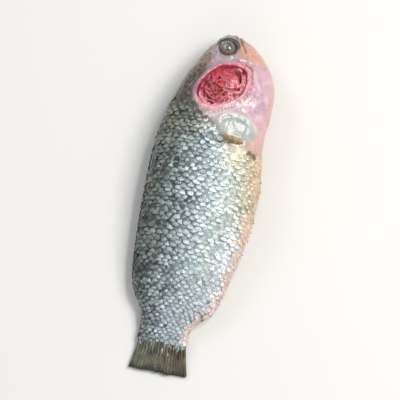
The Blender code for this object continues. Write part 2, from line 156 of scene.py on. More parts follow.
back_share = smooth_line((0, 1), (0.062, 1), (0.080, 0.985), (0.100, 0.94), (0.111, 0.89),
                         (0.118, 0.80), (0.123, 0.64), (0.128, 0.55), (TAIL_BASE, 0.51),
                         (0.141, 0.53), (LENGTH, 0.605))
belly_share = smooth_line((0, 0.925), (0.036, 0.925), (0.044, 0.897), (0.050, 0.905), (0.058, 0.955),
                          (0.068, 1), (0.078, 0.985), (0.090, 0.93), (0.102, 0.85), (0.112, 0.765),
                          (0.1185, 0.70), (0.1225, 0.62), (0.1265, 0.46), (0.130, 0.36),
                          (TAIL_BASE, 0.33), (0.141, 0.37), (LENGTH, 0.455))
side_share = smooth_line((0, 0.95), (NAPE, 0.95), (0.045, 1), (0.060, 1), (0.075, 0.935), (0.090, 0.81),
                         (0.105, 0.65), (0.115, 0.51), (0.124, 0.36), (0.130, 0.25),
                         (TAIL_BASE, 0.150), (0.138, 0.058), (0.142, 0.032), (LENGTH, 0.030))
middle_height = smooth_line((0, 0.0096), (0.015, 0.0104), (NAPE, 0.0114), (0.045, 0.0118),
                            (0.060, 0.0118), (0.075, 0.0111), (0.090, 0.0097), (0.105, 0.0079),
                            (0.115, 0.0064), (0.124, 0.0049), (TAIL_BASE, 0.0034), (0.142, 0.0021),
                            (LENGTH, 0.0013))
widest_share = smooth_line((0, 0.46), (NAPE, 0.43), (0.075, 0.43), (TAIL_BASE, 0.50), (LENGTH, 0.50))
fullness = smooth_line((0, 0.90), (0.115, 0.90), (TAIL_BASE, 0.55), (LENGTH, 0.30))


def snout(along, shape):
    """The share of its full reach that a rounded front end has at this distance from its tip."""
    run, power = shape
    return (1 - (1 - np.clip(along / run, 0, 1)) ** 2) ** power


def reaches(along):
    """Back reach, belly reach and half width of the section at this distance from the snout."""
    back = BACK_REACH * snout(along, SNOUT_BACK) * back_share(along)
    belly = BELLY_REACH * snout(along, SNOUT_THROAT) * belly_share(along)
    half = HALF_WIDTH * snout(along, SNOUT_SIDE) * side_share(along)
    return back, belly, half


def skin_height(along, across):
    """How far the smooth skin lies from the middle plane at a place on the flank."""
    back, belly, half = reaches(along)
    widest = -back + widest_share(along) * (back + belly)
    span = np.where(across < widest, widest + back, belly - widest)
    cosine = np.clip(np.abs(across - widest) / np.maximum(span, 1e-6), 0, 1)
    return half * (1 - cosine * cosine) ** (fullness(along) / 2)


def section(along, count):
    """Even points down one flank, from the back ridge to the belly ridge, and the flank's girth."""
    back, belly, half = reaches(along)
    widest = -back + widest_share(along) * (back + belly)
    turn = np.linspace(0, math.pi, 721)
    span = np.where(turn < math.pi / 2, widest + back, belly - widest)
    curve = np.stack([widest - span * np.cos(turn), half * np.sin(turn) ** fullness(along)], axis=1)
    run = np.concatenate([[0], np.cumsum(np.linalg.norm(np.diff(curve, axis=0), axis=1))])
    even = np.linspace(0, run[-1], count)
    return np.stack([np.interp(even, run, curve[:, k]) for k in range(2)], axis=1), run[-1]


eye_low, eye_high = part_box("eye_right")
SHIFT_X = (eye_low.x + eye_high.x) / 2 - EYE_PLACE[1]
SHIFT_Y = (eye_low.y + eye_high.y) / 2 + EYE_PLACE[0]


def in_row(along, across, height):
    """Row coordinates of places on the fish, given how high each lies over the table."""
    return np.stack([across + SHIFT_X, SHIFT_Y - along, height], axis=-1)


def step_up(low, high, x):
    """0 below low, 1 above high, and a smooth rise between them."""
    t = np.clip((x - low) / (high - low), 0, 1)
    return t * t * (3 - 2 * t)


def bump(x, centre, half_width):
    """1 at the centre, 0 further off than half_width."""
    t = np.clip(1 - np.abs(x - centre) / half_width, 0, 1)
    return t * t * (3 - 2 * t)


def ripple(along, across, size, seed):
    """A smooth uneven field between about -1 and 1, from a few crossed waves."""
    rng = np.random.default_rng(seed)
    total = 0
    for _ in range(8):
        turn, phase, pitch = rng.uniform(0, math.pi), rng.uniform(0, 2 * math.pi), rng.uniform(0.55, 1.6)
        way = along * math.cos(turn) + across * math.sin(turn)
        total = total + np.sin(way * 2 * math.pi / (size * pitch) + phase)
    return total / 3.4


def oval_polar(along, across):
    """Distance and direction from the middle of the gill opening; distance is 1 on its rim."""
    lengthwise, crosswise = along - GILL_PLACE[0], across - GILL_PLACE[1]
    long_axis = crosswise * math.cos(GILL_LEAN) - lengthwise * math.sin(GILL_LEAN)
    short_axis = crosswise * math.sin(GILL_LEAN) + lengthwise * math.cos(GILL_LEAN)
    angle = np.arctan2(short_axis / GILL_SHORT, long_axis / GILL_LONG)
    uneven = 1 + 0.030 * np.sin(2 * angle + 0.6) + 0.028 * np.sin(5 * angle + 1.1)
    uneven += 0.012 * np.sin(11 * angle)
    return np.hypot(long_axis / GILL_LONG, short_axis / GILL_SHORT) / uneven, angle


def facing(angle, low, high, blur=14):
    """1 between two directions round the opening, in degrees, fading out beyond them."""
    middle, half = math.radians((low + high) / 2), math.radians((high - low) / 2)
    off = np.abs((angle - middle + math.pi) % (2 * math.pi) - math.pi)
    return 1 - step_up(half - math.radians(blur) / 2, half + math.radians(blur) / 2, off)


def lens(along, across, place, size, turn):
    """Distance from the middle of an oval patch, 1 on its rim."""
    lengthwise, crosswise = along - place[0], across - place[1]
    first = lengthwise * math.cos(turn) + crosswise * math.sin(turn)
    second = crosswise * math.cos(turn) - lengthwise * math.sin(turn)
    return np.hypot(first / size[0], second / size[1])


def from_centre(along, across, place, radius=1.0):
    """Distance from a place on the flank, in metres, or in radii where one is given."""
    return np.hypot(along - place[0], across - place[1]) / radius


def slit_line(along, across, start, end):
    """(distance aside, share of the way) of places from a straight slit between two points."""
    start, end = np.array(start), np.array(end)
    way = end - start
    share = ((along - start[0]) * way[0] + (across - start[1]) * way[1]) / (way @ way)
    aside = ((along - start[0]) * way[1] - (across - start[1]) * way[0]) / np.hypot(*way)
    return aside, share


def relief(along, across):
    """How far the skin's low forms stand out of (or sink into) the smooth body."""
    # The torn rim of the gill opening, the groove round its belly side, the fold and the hollow cheek
    reach, angle = oval_polar(along, across)
    torn = 1 + 0.22 * np.sin(9 * angle) + 0.18 * np.sin(17 * angle + 2) + 0.12 * np.sin(31 * angle)
    rim = 0.0005 * bump(reach, 1.06, 0.09) * torn * (1 + 0.9 * facing(angle, -35, 165))
    groove = -0.0007 * bump(reach, 1.235, 0.085) * facing(angle, -30, 150)
    groove *= step_up(-1.1, 0.5, ripple(along, across, 0.0075, 23))
    fold = 0.0006 * bump(reach, 1.42, 0.16) * facing(angle, -25, 80)
    cheek = -0.00035 * bump(reach, 1.30, 0.10) * facing(angle, 185, 330)

    # The crest of the shoulder girdle, and the slit of the trimmed fin behind it
    girdle = lens(along, across, GIRDLE_PLACE, GIRDLE_SIZE, GIRDLE_TURN)
    front = 1 - step_up(0.0405, 0.0460, along + 0.12 * (across - GIRDLE_PLACE[1]))
    crest = (1 - step_up(0.80, 1.04, girdle)) * (0.0009 + 0.00020 * ripple(along, across, 0.0085, 5))
    crest += (0.0008 * bump(girdle, 0.92, 0.20) - 0.0006 * bump(girdle, 0.62, 0.20)) * front
    stub = lens(along, across, PECTORAL_PLACE, PECTORAL_SIZE, PECTORAL_TURN)
    slot = 0.0007 * bump(stub, 1.2, 0.5) - 0.0006 * (1 - step_up(0.5, 0.95, stub))

    # The eye's socket, the lips, the bones of jaw and cheek, and the nostril
    orbit = from_centre(along, across, EYE_PLACE, EYE_RADIUS)
    socket = 0.0005 * bump(orbit, 1.30, 0.24) - 0.0020 * (1 - step_up(0.88, 1.10, orbit))
    aside, share = slit_line(along, across, MOUTH_START, MOUTH_END)
    lips = 0.00035 * bump(np.abs(aside), 0.00105, 0.0009) - 0.0007 * bump(aside, 0, 0.00045)
    lips *= 1 - step_up(0.88, 1.06, share)
    bones = 0.0005 * bump(lens(along, across, *JAW_BONE), 0, 1.0)
    bones += 0.0004 * bump(lens(along, across, *CHEEK_BONE), 0, 1.0)
    nostril = from_centre(along, across, NOSTRIL_PLACE, NOSTRIL_RADIUS)
    nose = 0.00028 * bump(nostril, 1.35, 0.7) - 0.0007 * (1 - step_up(0.4, 1.0, nostril))

    # Wrinkles in the bare skin, and soft dents along the trunk
    bare = 1 - step_up(0.040, 0.056, along)
    trunk = step_up(0.045, 0.065, along) * (1 - step_up(0.12, 0.13, along))
    wrinkles = (0.00012 * ripple(along, across, 0.0024, 8) + 0.00022 * ripple(along, across, 0.010, 9)) * bare
    dents = 0.0003 * ripple(along, across, 0.030, 10) * trunk
    return rim + groove + fold + crest + slot + socket + lips + bones + cheek + nose + wrinkles + dents


def drawn_in(along, across, pull):
    """The same places, with their distance from the gill opening's middle multiplied."""
    return tuple(middle + (place - middle) * pull for place, middle in zip((along, across), GILL_PLACE))


def drawn_to_rim(along, across, spread=0.38, ease=0.12):
    """The same places, crowded towards the gill opening's rim, so that its edge comes out clean."""
    reach, _ = oval_polar(along, across)
    off = reach - 1
    x = np.clip(np.abs(off) / spread, 0, 1)
    near = np.sign(off) * spread * (ease * x + (1 - ease) * x * x)
    wanted = np.where(np.abs(off) < spread, 1 + near, reach)
    return drawn_in(along, across, wanted / np.maximum(reach, 1e-6))


def painted(base, *layers):
    """Base colours with others laid over them in turn, each where its mask is 1."""
    for colour, mask in layers:
        laid = colour if isinstance(colour, np.ndarray) else np.array(tint(*colour))
        base = base * (1 - mask[..., None]) + laid * mask[..., None]
    return base


def all_over(places, colour):
    """One colour at every place."""
    return np.zeros(np.shape(places) + (3,)) + tint(*colour)


def scales_begin(across):
    """The distance from the snout at which the scales begin, at this height on the flank."""
    return np.interp(across,
                     (-0.021, -0.016, -0.011, -0.006, -0.002, 0.002, 0.006, 0.011, 0.016, 0.021, 0.027),
                     (0.0330, 0.0350, 0.0385, 0.0412, 0.0430, 0.0436, 0.0500, 0.0530, 0.0540, 0.0540, 0.0530))


def skin_paint(along, across):
    """The colour of the bare skin at each place: what a painter would lay down, zone by zone."""
    reach, angle = oval_polar(along, across)
    round_flank = across + np.tanh(across / 0.006) * (HALF_WIDTH - skin_height(along, across))
    blotch, fine = ripple(along, round_flank, 0.006, 11), ripple(along, round_flank, 0.0021, 12)

    # The cheek between the eye and the gills is pinkish, the nape dark brown with darker spots
    nape = 1 - step_up(-0.0075, -0.0025, across + 0.0010 * blotch)
    brown = nape * step_up(0.016, 0.026, along + 0.0015 * blotch)
    colour = painted(
        all_over(along, (176, 152, 158)),
        ((132, 106, 92), nape),
        ((78, 64, 52), brown),
        ((38, 35, 28), nape * step_up(-0.2, 0.8, fine + 0.4 * blotch + 0.5 * brown - 0.3) * 0.8),
        ((130, 114, 98), nape * step_up(0.3, 0.9, -fine) * brown * 0.5))

    # The throat: lilac, with violet patches low down; its peach edge, jaw to shoulder, is skin colour and
    # painted rim light
    throat = step_up(0.0095, 0.0140, across + 0.0006 * blotch) * (1 - step_up(0.044, 0.052, along))
    violet = bump(lens(along, across, *VIOLET_PATCH), 0, 1)
    jaw = step_up(0.0050, 0.0095, across + 0.35 * (0.014 - along)) * (1 - step_up(0.010, 0.017, along))
    edge_share = across / np.maximum(reaches(along)[1], 1e-5)
    rim = step_up(0.89, 0.98, edge_share) * step_up(0.003, 0.010, along) * (1 - step_up(0.052, 0.060, along))
    shoulder = step_up(0.0165, 0.0200, across) * step_up(0.040, 0.045, along)
    colour = painted(
        colour,
        ((203, 165, 175), throat),
        ((178, 142, 170), throat * violet * 0.6 * step_up(-0.9, 0.5, blotch)),
        ((220, 196, 200), throat * step_up(0.2, 0.9, -blotch) * 0.5),
        ((210, 158, 128), jaw * 0.9),
        # The edge: partly the skin's own peach, partly painted rim light along the outline
        ((208, 158, 138), rim * (0.45 + 0.4 * step_up(-0.9, 0.7, blotch))),
        ((214, 170, 158), shoulder * (1 - rim) * (1 - step_up(0.056, 0.064, along))),
        ((126, 108, 84), (1 - step_up(0.0015, 0.0075, along + 0.0012 * blotch)) * 0.7))

    # Under the scales: near black on the back, grey on the flank, cream at the belly; the peach edge is
    # partly painted rim light
    scaled = step_up(-0.003, 0.003, along - scales_begin(across))
    colour = painted(
        colour,
        ((34, 38, 34), scaled * (1 - step_up(-0.016, 0.000, across))),
        ((112, 120, 118), scaled * step_up(-0.016, 0.004, across)),
        ((206, 178, 156), scaled * step_up(0.90, 0.98, edge_share) * 0.8),
        ((206, 192, 154), bump(lens(along, across, *CREAM_PATCH), 0, 1.1) * 0.9))

    # The eye's socket with painted shade on its upper side, the white shoulder girdle and the trimmed fin's
    # slit behind it
    orbit = from_centre(along, across, EYE_PLACE, EYE_RADIUS)
    socket = 1 - step_up(0.98, 1.10, orbit)
    above = step_up(-0.0006, 0.0022, EYE_PLACE[0] - along + 0.0006 * blotch)
    girdle = lens(along, across, GIRDLE_PLACE, GIRDLE_WHITE, GIRDLE_TURN)
    white = 1 - step_up(0.80, 1.08, girdle + 0.10 * blotch)
    ahead = 1 - step_up(0.0410, 0.0470, along)
    # Painted blue-grey shade in the girdle's low spots and in the hollow behind its front fold
    hollows = step_up(0.0, 1.2, -ripple(along, across, 0.0085, 5)) * 0.45
    hollows = np.clip(hollows + bump(girdle, 0.50, 0.22) * ahead * step_up(0.008, 0.012, across), 0, 1)
    stub = lens(along, across, PECTORAL_PLACE, PECTORAL_STAIN, PECTORAL_TURN)
    around_stub = 1 - step_up(0.55, 1.05, stub)
    colour = painted(
        colour,
        # Painted shade round the eye: a grey ring and a near-black band in the socket, heaviest on its upper
        # side
        ((112, 110, 104), bump(orbit, 1.30, 0.34) * (0.35 + 0.4 * above)),
        ((42, 40, 28), bump(orbit, 1.18, 0.26) * above),
        ((128, 112, 112), socket),
        ((30, 27, 18), socket * above),
        ((172, 174, 169), white),
        # Painted shade in the girdle's hollows, and a painted highlight along its front fold
        ((138, 152, 160), white * hollows * 0.85),
        ((222, 202, 200), bump(girdle, 0.84, 0.22) * ahead * 0.8),
        ((188, 162, 122), around_stub * 0.9),
        # Olive and brown at the fin's slit: partly the fin base's own colour, partly painted shadow under the
        # girdle
        ((92, 94, 66), around_stub * step_up(-0.001, 0.004, PECTORAL_PLACE[1] - across)),
        ((104, 80, 48), (1 - step_up(0.20, 0.55, stub + 0.15 * fine)) * 0.85))

    # The cut edge round the gills: mauve above, thick and light pink below, and dark rose painted shade in
    # the groove outside
    low_side = facing(angle, -30, 200, 40)
    wall = painted(all_over(along, (168, 62, 82)), ((112, 24, 42), low_side))
    behind = facing(angle, 60, 150, 30) * (1 - step_up(0.0120, 0.0160, across))
    aside, share = slit_line(along, across, MOUTH_START, MOUTH_END)
    return painted(
        colour,
        ((178, 132, 146), bump(reach, 1.09, 0.17) * 0.9),
        ((234, 176, 178), bump(reach, 1.09, 0.13) * low_side * step_up(-1.2, 0.2, blotch)),
        ((224, 116, 132), bump(reach, 1.04, 0.07) * facing(angle, -40, 70, 30) * 0.8),
        # Painted shade in the groove outside the rim
        ((160, 76, 96), bump(reach, 1.235, 0.085) * facing(angle, -30, 130) * 0.9),
        ((220, 202, 202), bump(reach, 1.40, 0.14) * behind * 0.9),
        ((192, 66, 88), 1 - step_up(0.985, 1.035, reach)),
        (wall, 1 - step_up(0.955, 0.995, reach)),
        ((122, 88, 70), bump(aside, 0, 0.0005) * (1 - step_up(0.9, 1.05, share)) * 0.8),
        # Painted shade in the nostril's pit
        ((34, 26, 22), 1 - step_up(0.7, 1.2, from_centre(along, across, NOSTRIL_PLACE, NOSTRIL_RADIUS))))


def as_piece(name, corners, faces, material):
    """A mesh object from points and faces, shaded smooth."""
    data = bpy.data.meshes.new(name)
    data.from_pydata([tuple(c) for c in corners], [], [tuple(f) for f in faces])
    data.materials.append(material)
    data.shade_smooth()
    obj = bpy.data.objects.new(name, data)
    bpy.context.scene.collection.objects.link(obj)
    return obj


def add_value(obj, name, kind, values):
    """Stores a number, vector or colour for each point of a piece, under this name."""
    layer = obj.data.attributes.new(name, kind, "POINT")
    field = {"FLOAT": "value", "FLOAT_VECTOR": "vector", "FLOAT_COLOR": "color"}[kind]
    values = np.asarray(values, dtype=np.float32)
    if kind == "FLOAT_COLOR":
        values = np.concatenate([values, np.ones((len(values), 1), dtype=np.float32)], axis=1)
    layer.data.foreach_set(field, values.ravel())


def face_outwards(obj):
    """Merges doubled points and turns every face of a closed piece outwards."""
    mesh = bmesh.new()
    mesh.from_mesh(obj.data)
    bmesh.ops.remove_doubles(mesh, verts=mesh.verts, dist=1e-7)
    bmesh.ops.recalc_face_normals(mesh, faces=mesh.faces)
    mesh.to_mesh(obj.data)
    mesh.free()


def closed_loft(name, rings, colours, material):
    """A closed painted piece through rings of equal numbers of points, each end drawn to a point."""
    count = len(rings[0])
    corners = np.concatenate([*rings, [rings[0].mean(axis=0)], [rings[-1].mean(axis=0)]])
    around = np.arange(count)
    after = (around + 1) % count
    faces = []
    for k in range(len(rings) - 1):
        one, other = k * count, (k + 1) * count
        faces += np.stack([one + around, one + after, other + after, other + around], axis=1).tolist()
    first, last = len(rings) * count, len(rings) * count + 1
    end = (len(rings) - 1) * count
    faces += [[first, j, i] for i, j in zip(around.tolist(), after.tolist())]
    faces += [[last, end + i, end + j] for i, j in zip(around.tolist(), after.tolist())]
    obj = as_piece(name, corners, faces, material)
    paint = np.concatenate([*colours, [colours[0].mean(axis=0)], [colours[-1].mean(axis=0)]])
    add_value(obj, "paint", "FLOAT_COLOR", paint)
    face_outwards(obj)
    return obj


def keep_above_table(obj, gap=0.00005):
    """Flattens what would sink into the table."""
    points = np.empty(len(obj.data.vertices) * 3, dtype=np.float32)
    obj.data.vertices.foreach_get("co", points)
    points = points.reshape(-1, 3)
    points[:, 2] = np.maximum(points[:, 2], gap)
    obj.data.vertices.foreach_set("co", points.ravel())
    obj.data.update()


def hand_over(obj, replaced):
    """Every piece is kept above the table, lies still on the one body and stands for the solids that it
    hides.
    """
    keep_above_table(obj)
    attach(obj, "root")
    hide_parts(*replaced)


def link(tree, source, target):
    tree.links.new(source, target)


def node(tree, kind, inputs=(), **settings):
    """A node with its settings, and its inputs set or linked by name or number."""
    made = tree.nodes.new(kind)
    for key, value in settings.items():
        setattr(made, key, value)
    for key, value in dict(inputs).items():
        if isinstance(value, bpy.types.NodeSocket):
            link(tree, value, made.inputs[key])
        else:
            made.inputs[key].default_value = value
    return made


def sum_of(tree, one, other, how="ADD", third=None):
    """One number from two or three, by a Math node."""
    inputs = {0: one, 1: other} if third is None else {0: one, 1: other, 2: third}
    return node(tree, "ShaderNodeMath", inputs, operation=how).outputs[0]


def add_sockets(tree, takes, gives):
    """Makes a node group's named inputs and outputs, each of its kind; returns what comes in."""
    for sockets, way in ((takes, "INPUT"), (gives, "OUTPUT")):
        for name, kind in sockets:
            tree.interface.new_socket(name, in_out=way, socket_type="NodeSocket" + kind)
    return tree.nodes.new("NodeGroupInput").outputs


def wet_flesh_group():
    """Fine mottling and a wet, slightly wrinkled surface, for every bare part of the fish."""
    tree = bpy.data.node_groups.new("wet flesh", "ShaderNodeTree")
    given = add_sockets(tree, (("Colour", "Color"), ("Grain size", "Float"), ("Mottling", "Float"),
                               ("Wrinkles", "Float"), ("Base roughness", "Float")),
                        (("Colour", "Color"), ("Roughness", "Float"), ("Normal", "Vector")))
    place = node(tree, "ShaderNodeTexCoord").outputs["Object"]
    scale = sum_of(tree, 1.0, given["Grain size"], "DIVIDE")
    grain = node(tree, "ShaderNodeTexNoise", {"Vector": place, "Scale": scale, "Detail": 4.0})
    patch_scale = sum_of(tree, scale, PATCHES_PER_GRAIN, "MULTIPLY")
    patches = node(tree, "ShaderNodeTexNoise", {"Vector": place, "Scale": patch_scale, "Detail": 3.0})
    both = sum_of(tree, grain.outputs["Fac"], patches.outputs["Fac"])
    centred = sum_of(tree, both, 1.0, "SUBTRACT")
    value = sum_of(tree, centred, given["Mottling"], "MULTIPLY_ADD", 1.0)
    tone = node(tree, "ShaderNodeHueSaturation", {"Color": given["Colour"], "Value": value})
    rough = sum_of(tree, centred, 0.35, "MULTIPLY_ADD", given["Base roughness"])
    height = node(tree, "ShaderNodeBump", {"Height": both, "Strength": given["Wrinkles"],
                                           "Distance": WRINKLE_DEPTH})
    out = tree.nodes.new("NodeGroupOutput").inputs
    link(tree, tone.outputs["Color"], out["Colour"])
    link(tree, rough, out["Roughness"])
    link(tree, height.outputs["Normal"], out["Normal"])
    return tree


wet_flesh = wet_flesh_group()


def painted_flesh(name, grain, mottling, wrinkles, roughness, **finish):
    """A wet material that takes its colours from what is painted on the piece."""
    material, tree, shader = new_finish(name, roughness, **finish)
    flesh = tree.nodes.new("ShaderNodeGroup")
    flesh.node_tree = wet_flesh
    for socket, value in (("Grain size", grain), ("Mottling", mottling), ("Wrinkles", wrinkles),
                          ("Base roughness", roughness)):
        flesh.inputs[socket].default_value = value
    paint = node(tree, "ShaderNodeAttribute", attribute_name="paint").outputs["Color"]
    link(tree, paint, flesh.inputs["Colour"])
    for socket, target in (("Colour", "Base Color"), ("Roughness", "Roughness"), ("Normal", "Normal")):
        link(tree, flesh.outputs[socket], shader.inputs[target])
    return material


skin_finish = painted_flesh("bare wet skin", 0.0011, 0.42, 0.35, 0.32,
                            coat=0.6, coat_roughness=0.12, subsurface=0.12)

head_places = SKIN_START + (NAPE - SKIN_START) * np.linspace(0, 1, HEAD_RINGS, endpoint=False) ** 1.5
trunk_places = np.linspace(NAPE, SKIN_END, TRUNK_RINGS)
rows_s, rows_t, rows_side = [], [], []
for along in np.concatenate([head_places, trunk_places]):
    flank, _ = section(along, FLANK_STEPS + 1)
    s, t = drawn_to_rim(np.full(FLANK_STEPS + 1, along), flank[:, 0])
    moved = np.hypot(s - along, t - flank[:, 0]) > 1e-9
    rows_s.append(s)
    rows_t.append(t)
    rows_side.append(np.where(moved, skin_height(s, t), flank[:, 1]))
grid_s, grid_t, grid_side = np.array(rows_s), np.array(rows_t), np.array(rows_side)


def grid_normals(points, side):
    """Outward directions on a flank's grid of points (rows from the snout, columns from the back)."""
    mirror = points[:, [1, -2]].copy()
    mirror[:, :, 2] = 2 * middle_height(grid_s[:, [1, -2]]) - mirror[:, :, 2]
    wide = np.concatenate([mirror[:, :1], points, mirror[:, 1:]], axis=1)
    aside = wide[:, 2:] - wide[:, :-2]
    tail_way = np.gradient(points, axis=0)
    out = np.cross(tail_way, aside) * side
    return out / np.maximum(np.linalg.norm(out, axis=2, keepdims=True), 1e-12)


# The relief fades out at the ridges of back and belly, and the skin lies lower under the scales
from_ridges = np.sin(np.linspace(0, math.pi, FLANK_STEPS + 1)) ** 0.4
sunk = UNDER_SCALES * step_up(-0.002, 0.003, grid_s - scales_begin(grid_t))
forms = relief(grid_s, grid_t) * from_ridges - sunk
opening = GILL_DEPTH * (1 - step_up(0.93, 1.0, oval_polar(grid_s, grid_t)[0]))
flanks = []
for side in (1, -1):
    smooth = in_row(grid_s, grid_t, middle_height(grid_s) + side * grid_side)
    shaped = smooth + grid_normals(smooth, side) * forms[..., None]
    shaped[..., 2] -= side * opening
    flanks.append(shaped)
paint = skin_paint(grid_s, grid_t)
skin_rings = [np.concatenate([right, left[-2:0:-1]]) for right, left in zip(*flanks)]
skin_colours = [np.concatenate([row, row[-2:0:-1]]) for row in paint]
body_skin = closed_loft("body_skin", skin_rings, skin_colours, skin_finish)
hand_over(body_skin, ["fish_body"])

# The scales: rounded horny plates that overlap like roof tiles, their free edges towards the tail.
# Each row is set half a plate aside from the one before it. A plate is light in its middle and dark
# along its edge, which draws the net over the flank, and no two lie quite alike.
SCALE_PITCH, SCALE_STEP = 0.0032, 0.0017
PLATE_BACK, PLATE_FRONT, PLATE_HALF, PLATE_TOP, PLATE_CURVE = 0.0018, 0.0026, 0.0019, 0.00013, 0.00016
PLATE_RINGS = ((0.50, 0.00010), (0.86, 0.00002), (1.0, -0.00007), (0.99, -0.00015), (0.90, -0.00036))
PLATE_RISE, LATERAL_SHARE, GILL_CLEARANCE = math.radians(6), 0.43, 1.38
SCALES_START, SCALES_END = 0.0330, TAIL_BASE + 0.0030
GIRTH_STEPS, LATTICE_STEPS = 240, 400
SCATTER_ALONG, SCATTER_ROUND = 0.00028, 0.0062
SIZE_SPREAD, TILT_SPREAD = 0.13, math.radians(9)
STREAKS, STREAK_SIZE, STREAK_SHAPE = 34, 0.62, (1.15, 0.5, 0.8)
# A few plates are darker, and a few brighter as painted glints
ODD_SHARES, DIM_AND_GLINT_TONES = (0, 0.05, 0.06, 0.93, 0.94, 1), (-0.25, -0.25, 0, 0, 0.3, 0.3)
PALE_PATCH, YELLOW_PATCH = ((0.0462, 0.0006), (0.0045, 0.0050), 0), ((0.0570, 0.0140), (0.0070, 0.0075), 0)
MIDDLES = ((0.00, (82, 91, 80)), (0.10, (112, 122, 115)), (0.27, (144, 157, 156)), (0.47, (168, 183, 187)),
           (0.66, (190, 206, 205)), (0.80, (188, 196, 188)), (0.90, (190, 184, 158)), (1.00, (176, 158, 128)))
EDGES = ((0.00, (4, 6, 5)), (0.20, (10, 13, 13)), (0.38, (30, 36, 39)), (0.46, (76, 88, 94)),
         (0.56, (124, 138, 142)), (0.78, (158, 160, 146)), (0.90, (162, 148, 116)), (1.00, (150, 122, 96)))
MARK_CENTRE, MARK_SPREAD, MARK_RAGGED, MARK_BLEND = (0.70, 0.50), (3.3, 2.25), 2.9, (0.35, 1.0)
GROWTH_RINGS, RIBS = 34.0, 3.4


def pieces_tree():
    """Geometry nodes that put one piece on every point, turned, sized and slightly unlike the next."""
    tree = bpy.data.node_groups.new("pieces in place", "GeometryNodeTree")
    given = add_sockets(tree, (("Places", "Geometry"), ("Piece", "Object"), ("Finish", "Material"),
                               ("Size spread", "Float"), ("Tilt spread", "Float"), ("Seed", "Int")),
                        (("Pieces", "Geometry"),))
    turn = node(tree, "GeometryNodeInputNamedAttribute", {"Name": "turn"}, data_type="FLOAT_VECTOR")
    size = node(tree, "GeometryNodeInputNamedAttribute", {"Name": "size"}, data_type="FLOAT_VECTOR")
    rotation = node(tree, "FunctionNodeEulerToRotation", {0: turn.outputs["Attribute"]}).outputs[0]
    least = sum_of(tree, given["Tilt spread"], -1.0, "MULTIPLY")
    tilt = node(tree, "FunctionNodeRandomValue", {0: least, 1: given["Tilt spread"], "Seed": given["Seed"]},
                data_type="FLOAT_VECTOR")
    tilted = node(tree, "FunctionNodeEulerToRotation", {0: tilt.outputs[0]}).outputs[0]
    turned = node(tree, "FunctionNodeRotateRotation", {0: rotation, 1: tilted}, rotation_space="LOCAL")
    low = sum_of(tree, 1.0, given["Size spread"], "SUBTRACT")
    high = sum_of(tree, 1.0, given["Size spread"])
    growth = node(tree, "FunctionNodeRandomValue", {2: low, 3: high, "Seed": given["Seed"]},
                  data_type="FLOAT")
    sized = node(tree, "ShaderNodeVectorMath", {0: size.outputs["Attribute"], "Scale": growth.outputs[1]},
                 operation="SCALE")
    piece = node(tree, "GeometryNodeObjectInfo", {"Object": given["Piece"]}, transform_space="ORIGINAL")
    spread = node(tree, "GeometryNodeInstanceOnPoints", {
        "Points": given["Places"], "Instance": piece.outputs["Geometry"],
        "Rotation": turned.outputs[0], "Scale": sized.outputs[0]})
    real = node(tree, "GeometryNodeRealizeInstances", {"Geometry": spread.outputs[0]})
    coated = node(tree, "GeometryNodeSetMaterial", {"Geometry": real.outputs[0], "Material": given["Finish"]})
    link(tree, coated.outputs[0], tree.nodes.new("NodeGroupOutput").inputs["Pieces"])
    return tree


pieces_in_place = pieces_tree()


def set_out(name, piece, finish, places, frames, sizes, paints, seed, size_spread=0.0, tilt_spread=0.0):
    """One mesh with the piece at each place. Frames hold each piece's own x, y and z directions."""
    data = bpy.data.meshes.new(name)
    data.from_pydata([tuple(p) for p in places], [], [])
    obj = bpy.data.objects.new(name, data)
    bpy.context.scene.collection.objects.link(obj)
    turns = [Matrix(f.T.tolist()).to_euler("XYZ") for f in np.asarray(frames)]
    add_value(obj, "turn", "FLOAT_VECTOR", turns)
    add_value(obj, "size", "FLOAT_VECTOR", sizes)
    for key, value in dict(paints).items():
        add_value(obj, key, "FLOAT_COLOR" if np.ndim(value) == 2 else "FLOAT", value)
    modifier = obj.modifiers.new("pieces in place", "NODES")
    modifier.node_group = pieces_in_place
    settings = {"Piece": piece, "Finish": finish, "Size spread": size_spread,
                "Tilt spread": tilt_spread, "Seed": seed}
    for item in pieces_in_place.interface.items_tree:
        if item.name in settings:
            modifier[item.identifier] = settings[item.name]
    graph = bpy.context.evaluated_depsgraph_get()
    made = bpy.data.meshes.new_from_object(obj.evaluated_get(graph))
    obj.modifiers.clear()
    obj.data = made
    made.name = name
    made.shade_smooth()
    return obj


def template(name, corners, faces, uv=None):
    """A small mesh to be copied, kept out of the scene. Its uv map is given point by point."""
    data = bpy.data.meshes.new(name)
    data.from_pydata([tuple(c) for c in corners], [], [tuple(f) for f in faces])
    data.shade_smooth()
    if uv is not None:
        layer = data.uv_layers.new(name="own")
        for loop in data.loops:
            layer.data[loop.index].uv = uv[loop.vertex_index]
    return bpy.data.objects.new(name, data)


def ringed(rings, sides):
    """Faces of a closed piece: a first point, rings of equal size, and a flat last face."""
    faces = [(0, 1 + k, 1 + (k + 1) % sides) for k in range(sides)]
    for ring in range(rings - 1):
        start = 1 + ring * sides
        for k in range(sides):
            n = (k + 1) % sides
            faces.append((start + k, start + sides + k, start + sides + n, start + n))
    last = 1 + (rings - 1) * sides
    faces.append(tuple(last + k for k in reversed(range(sides))))
    return faces


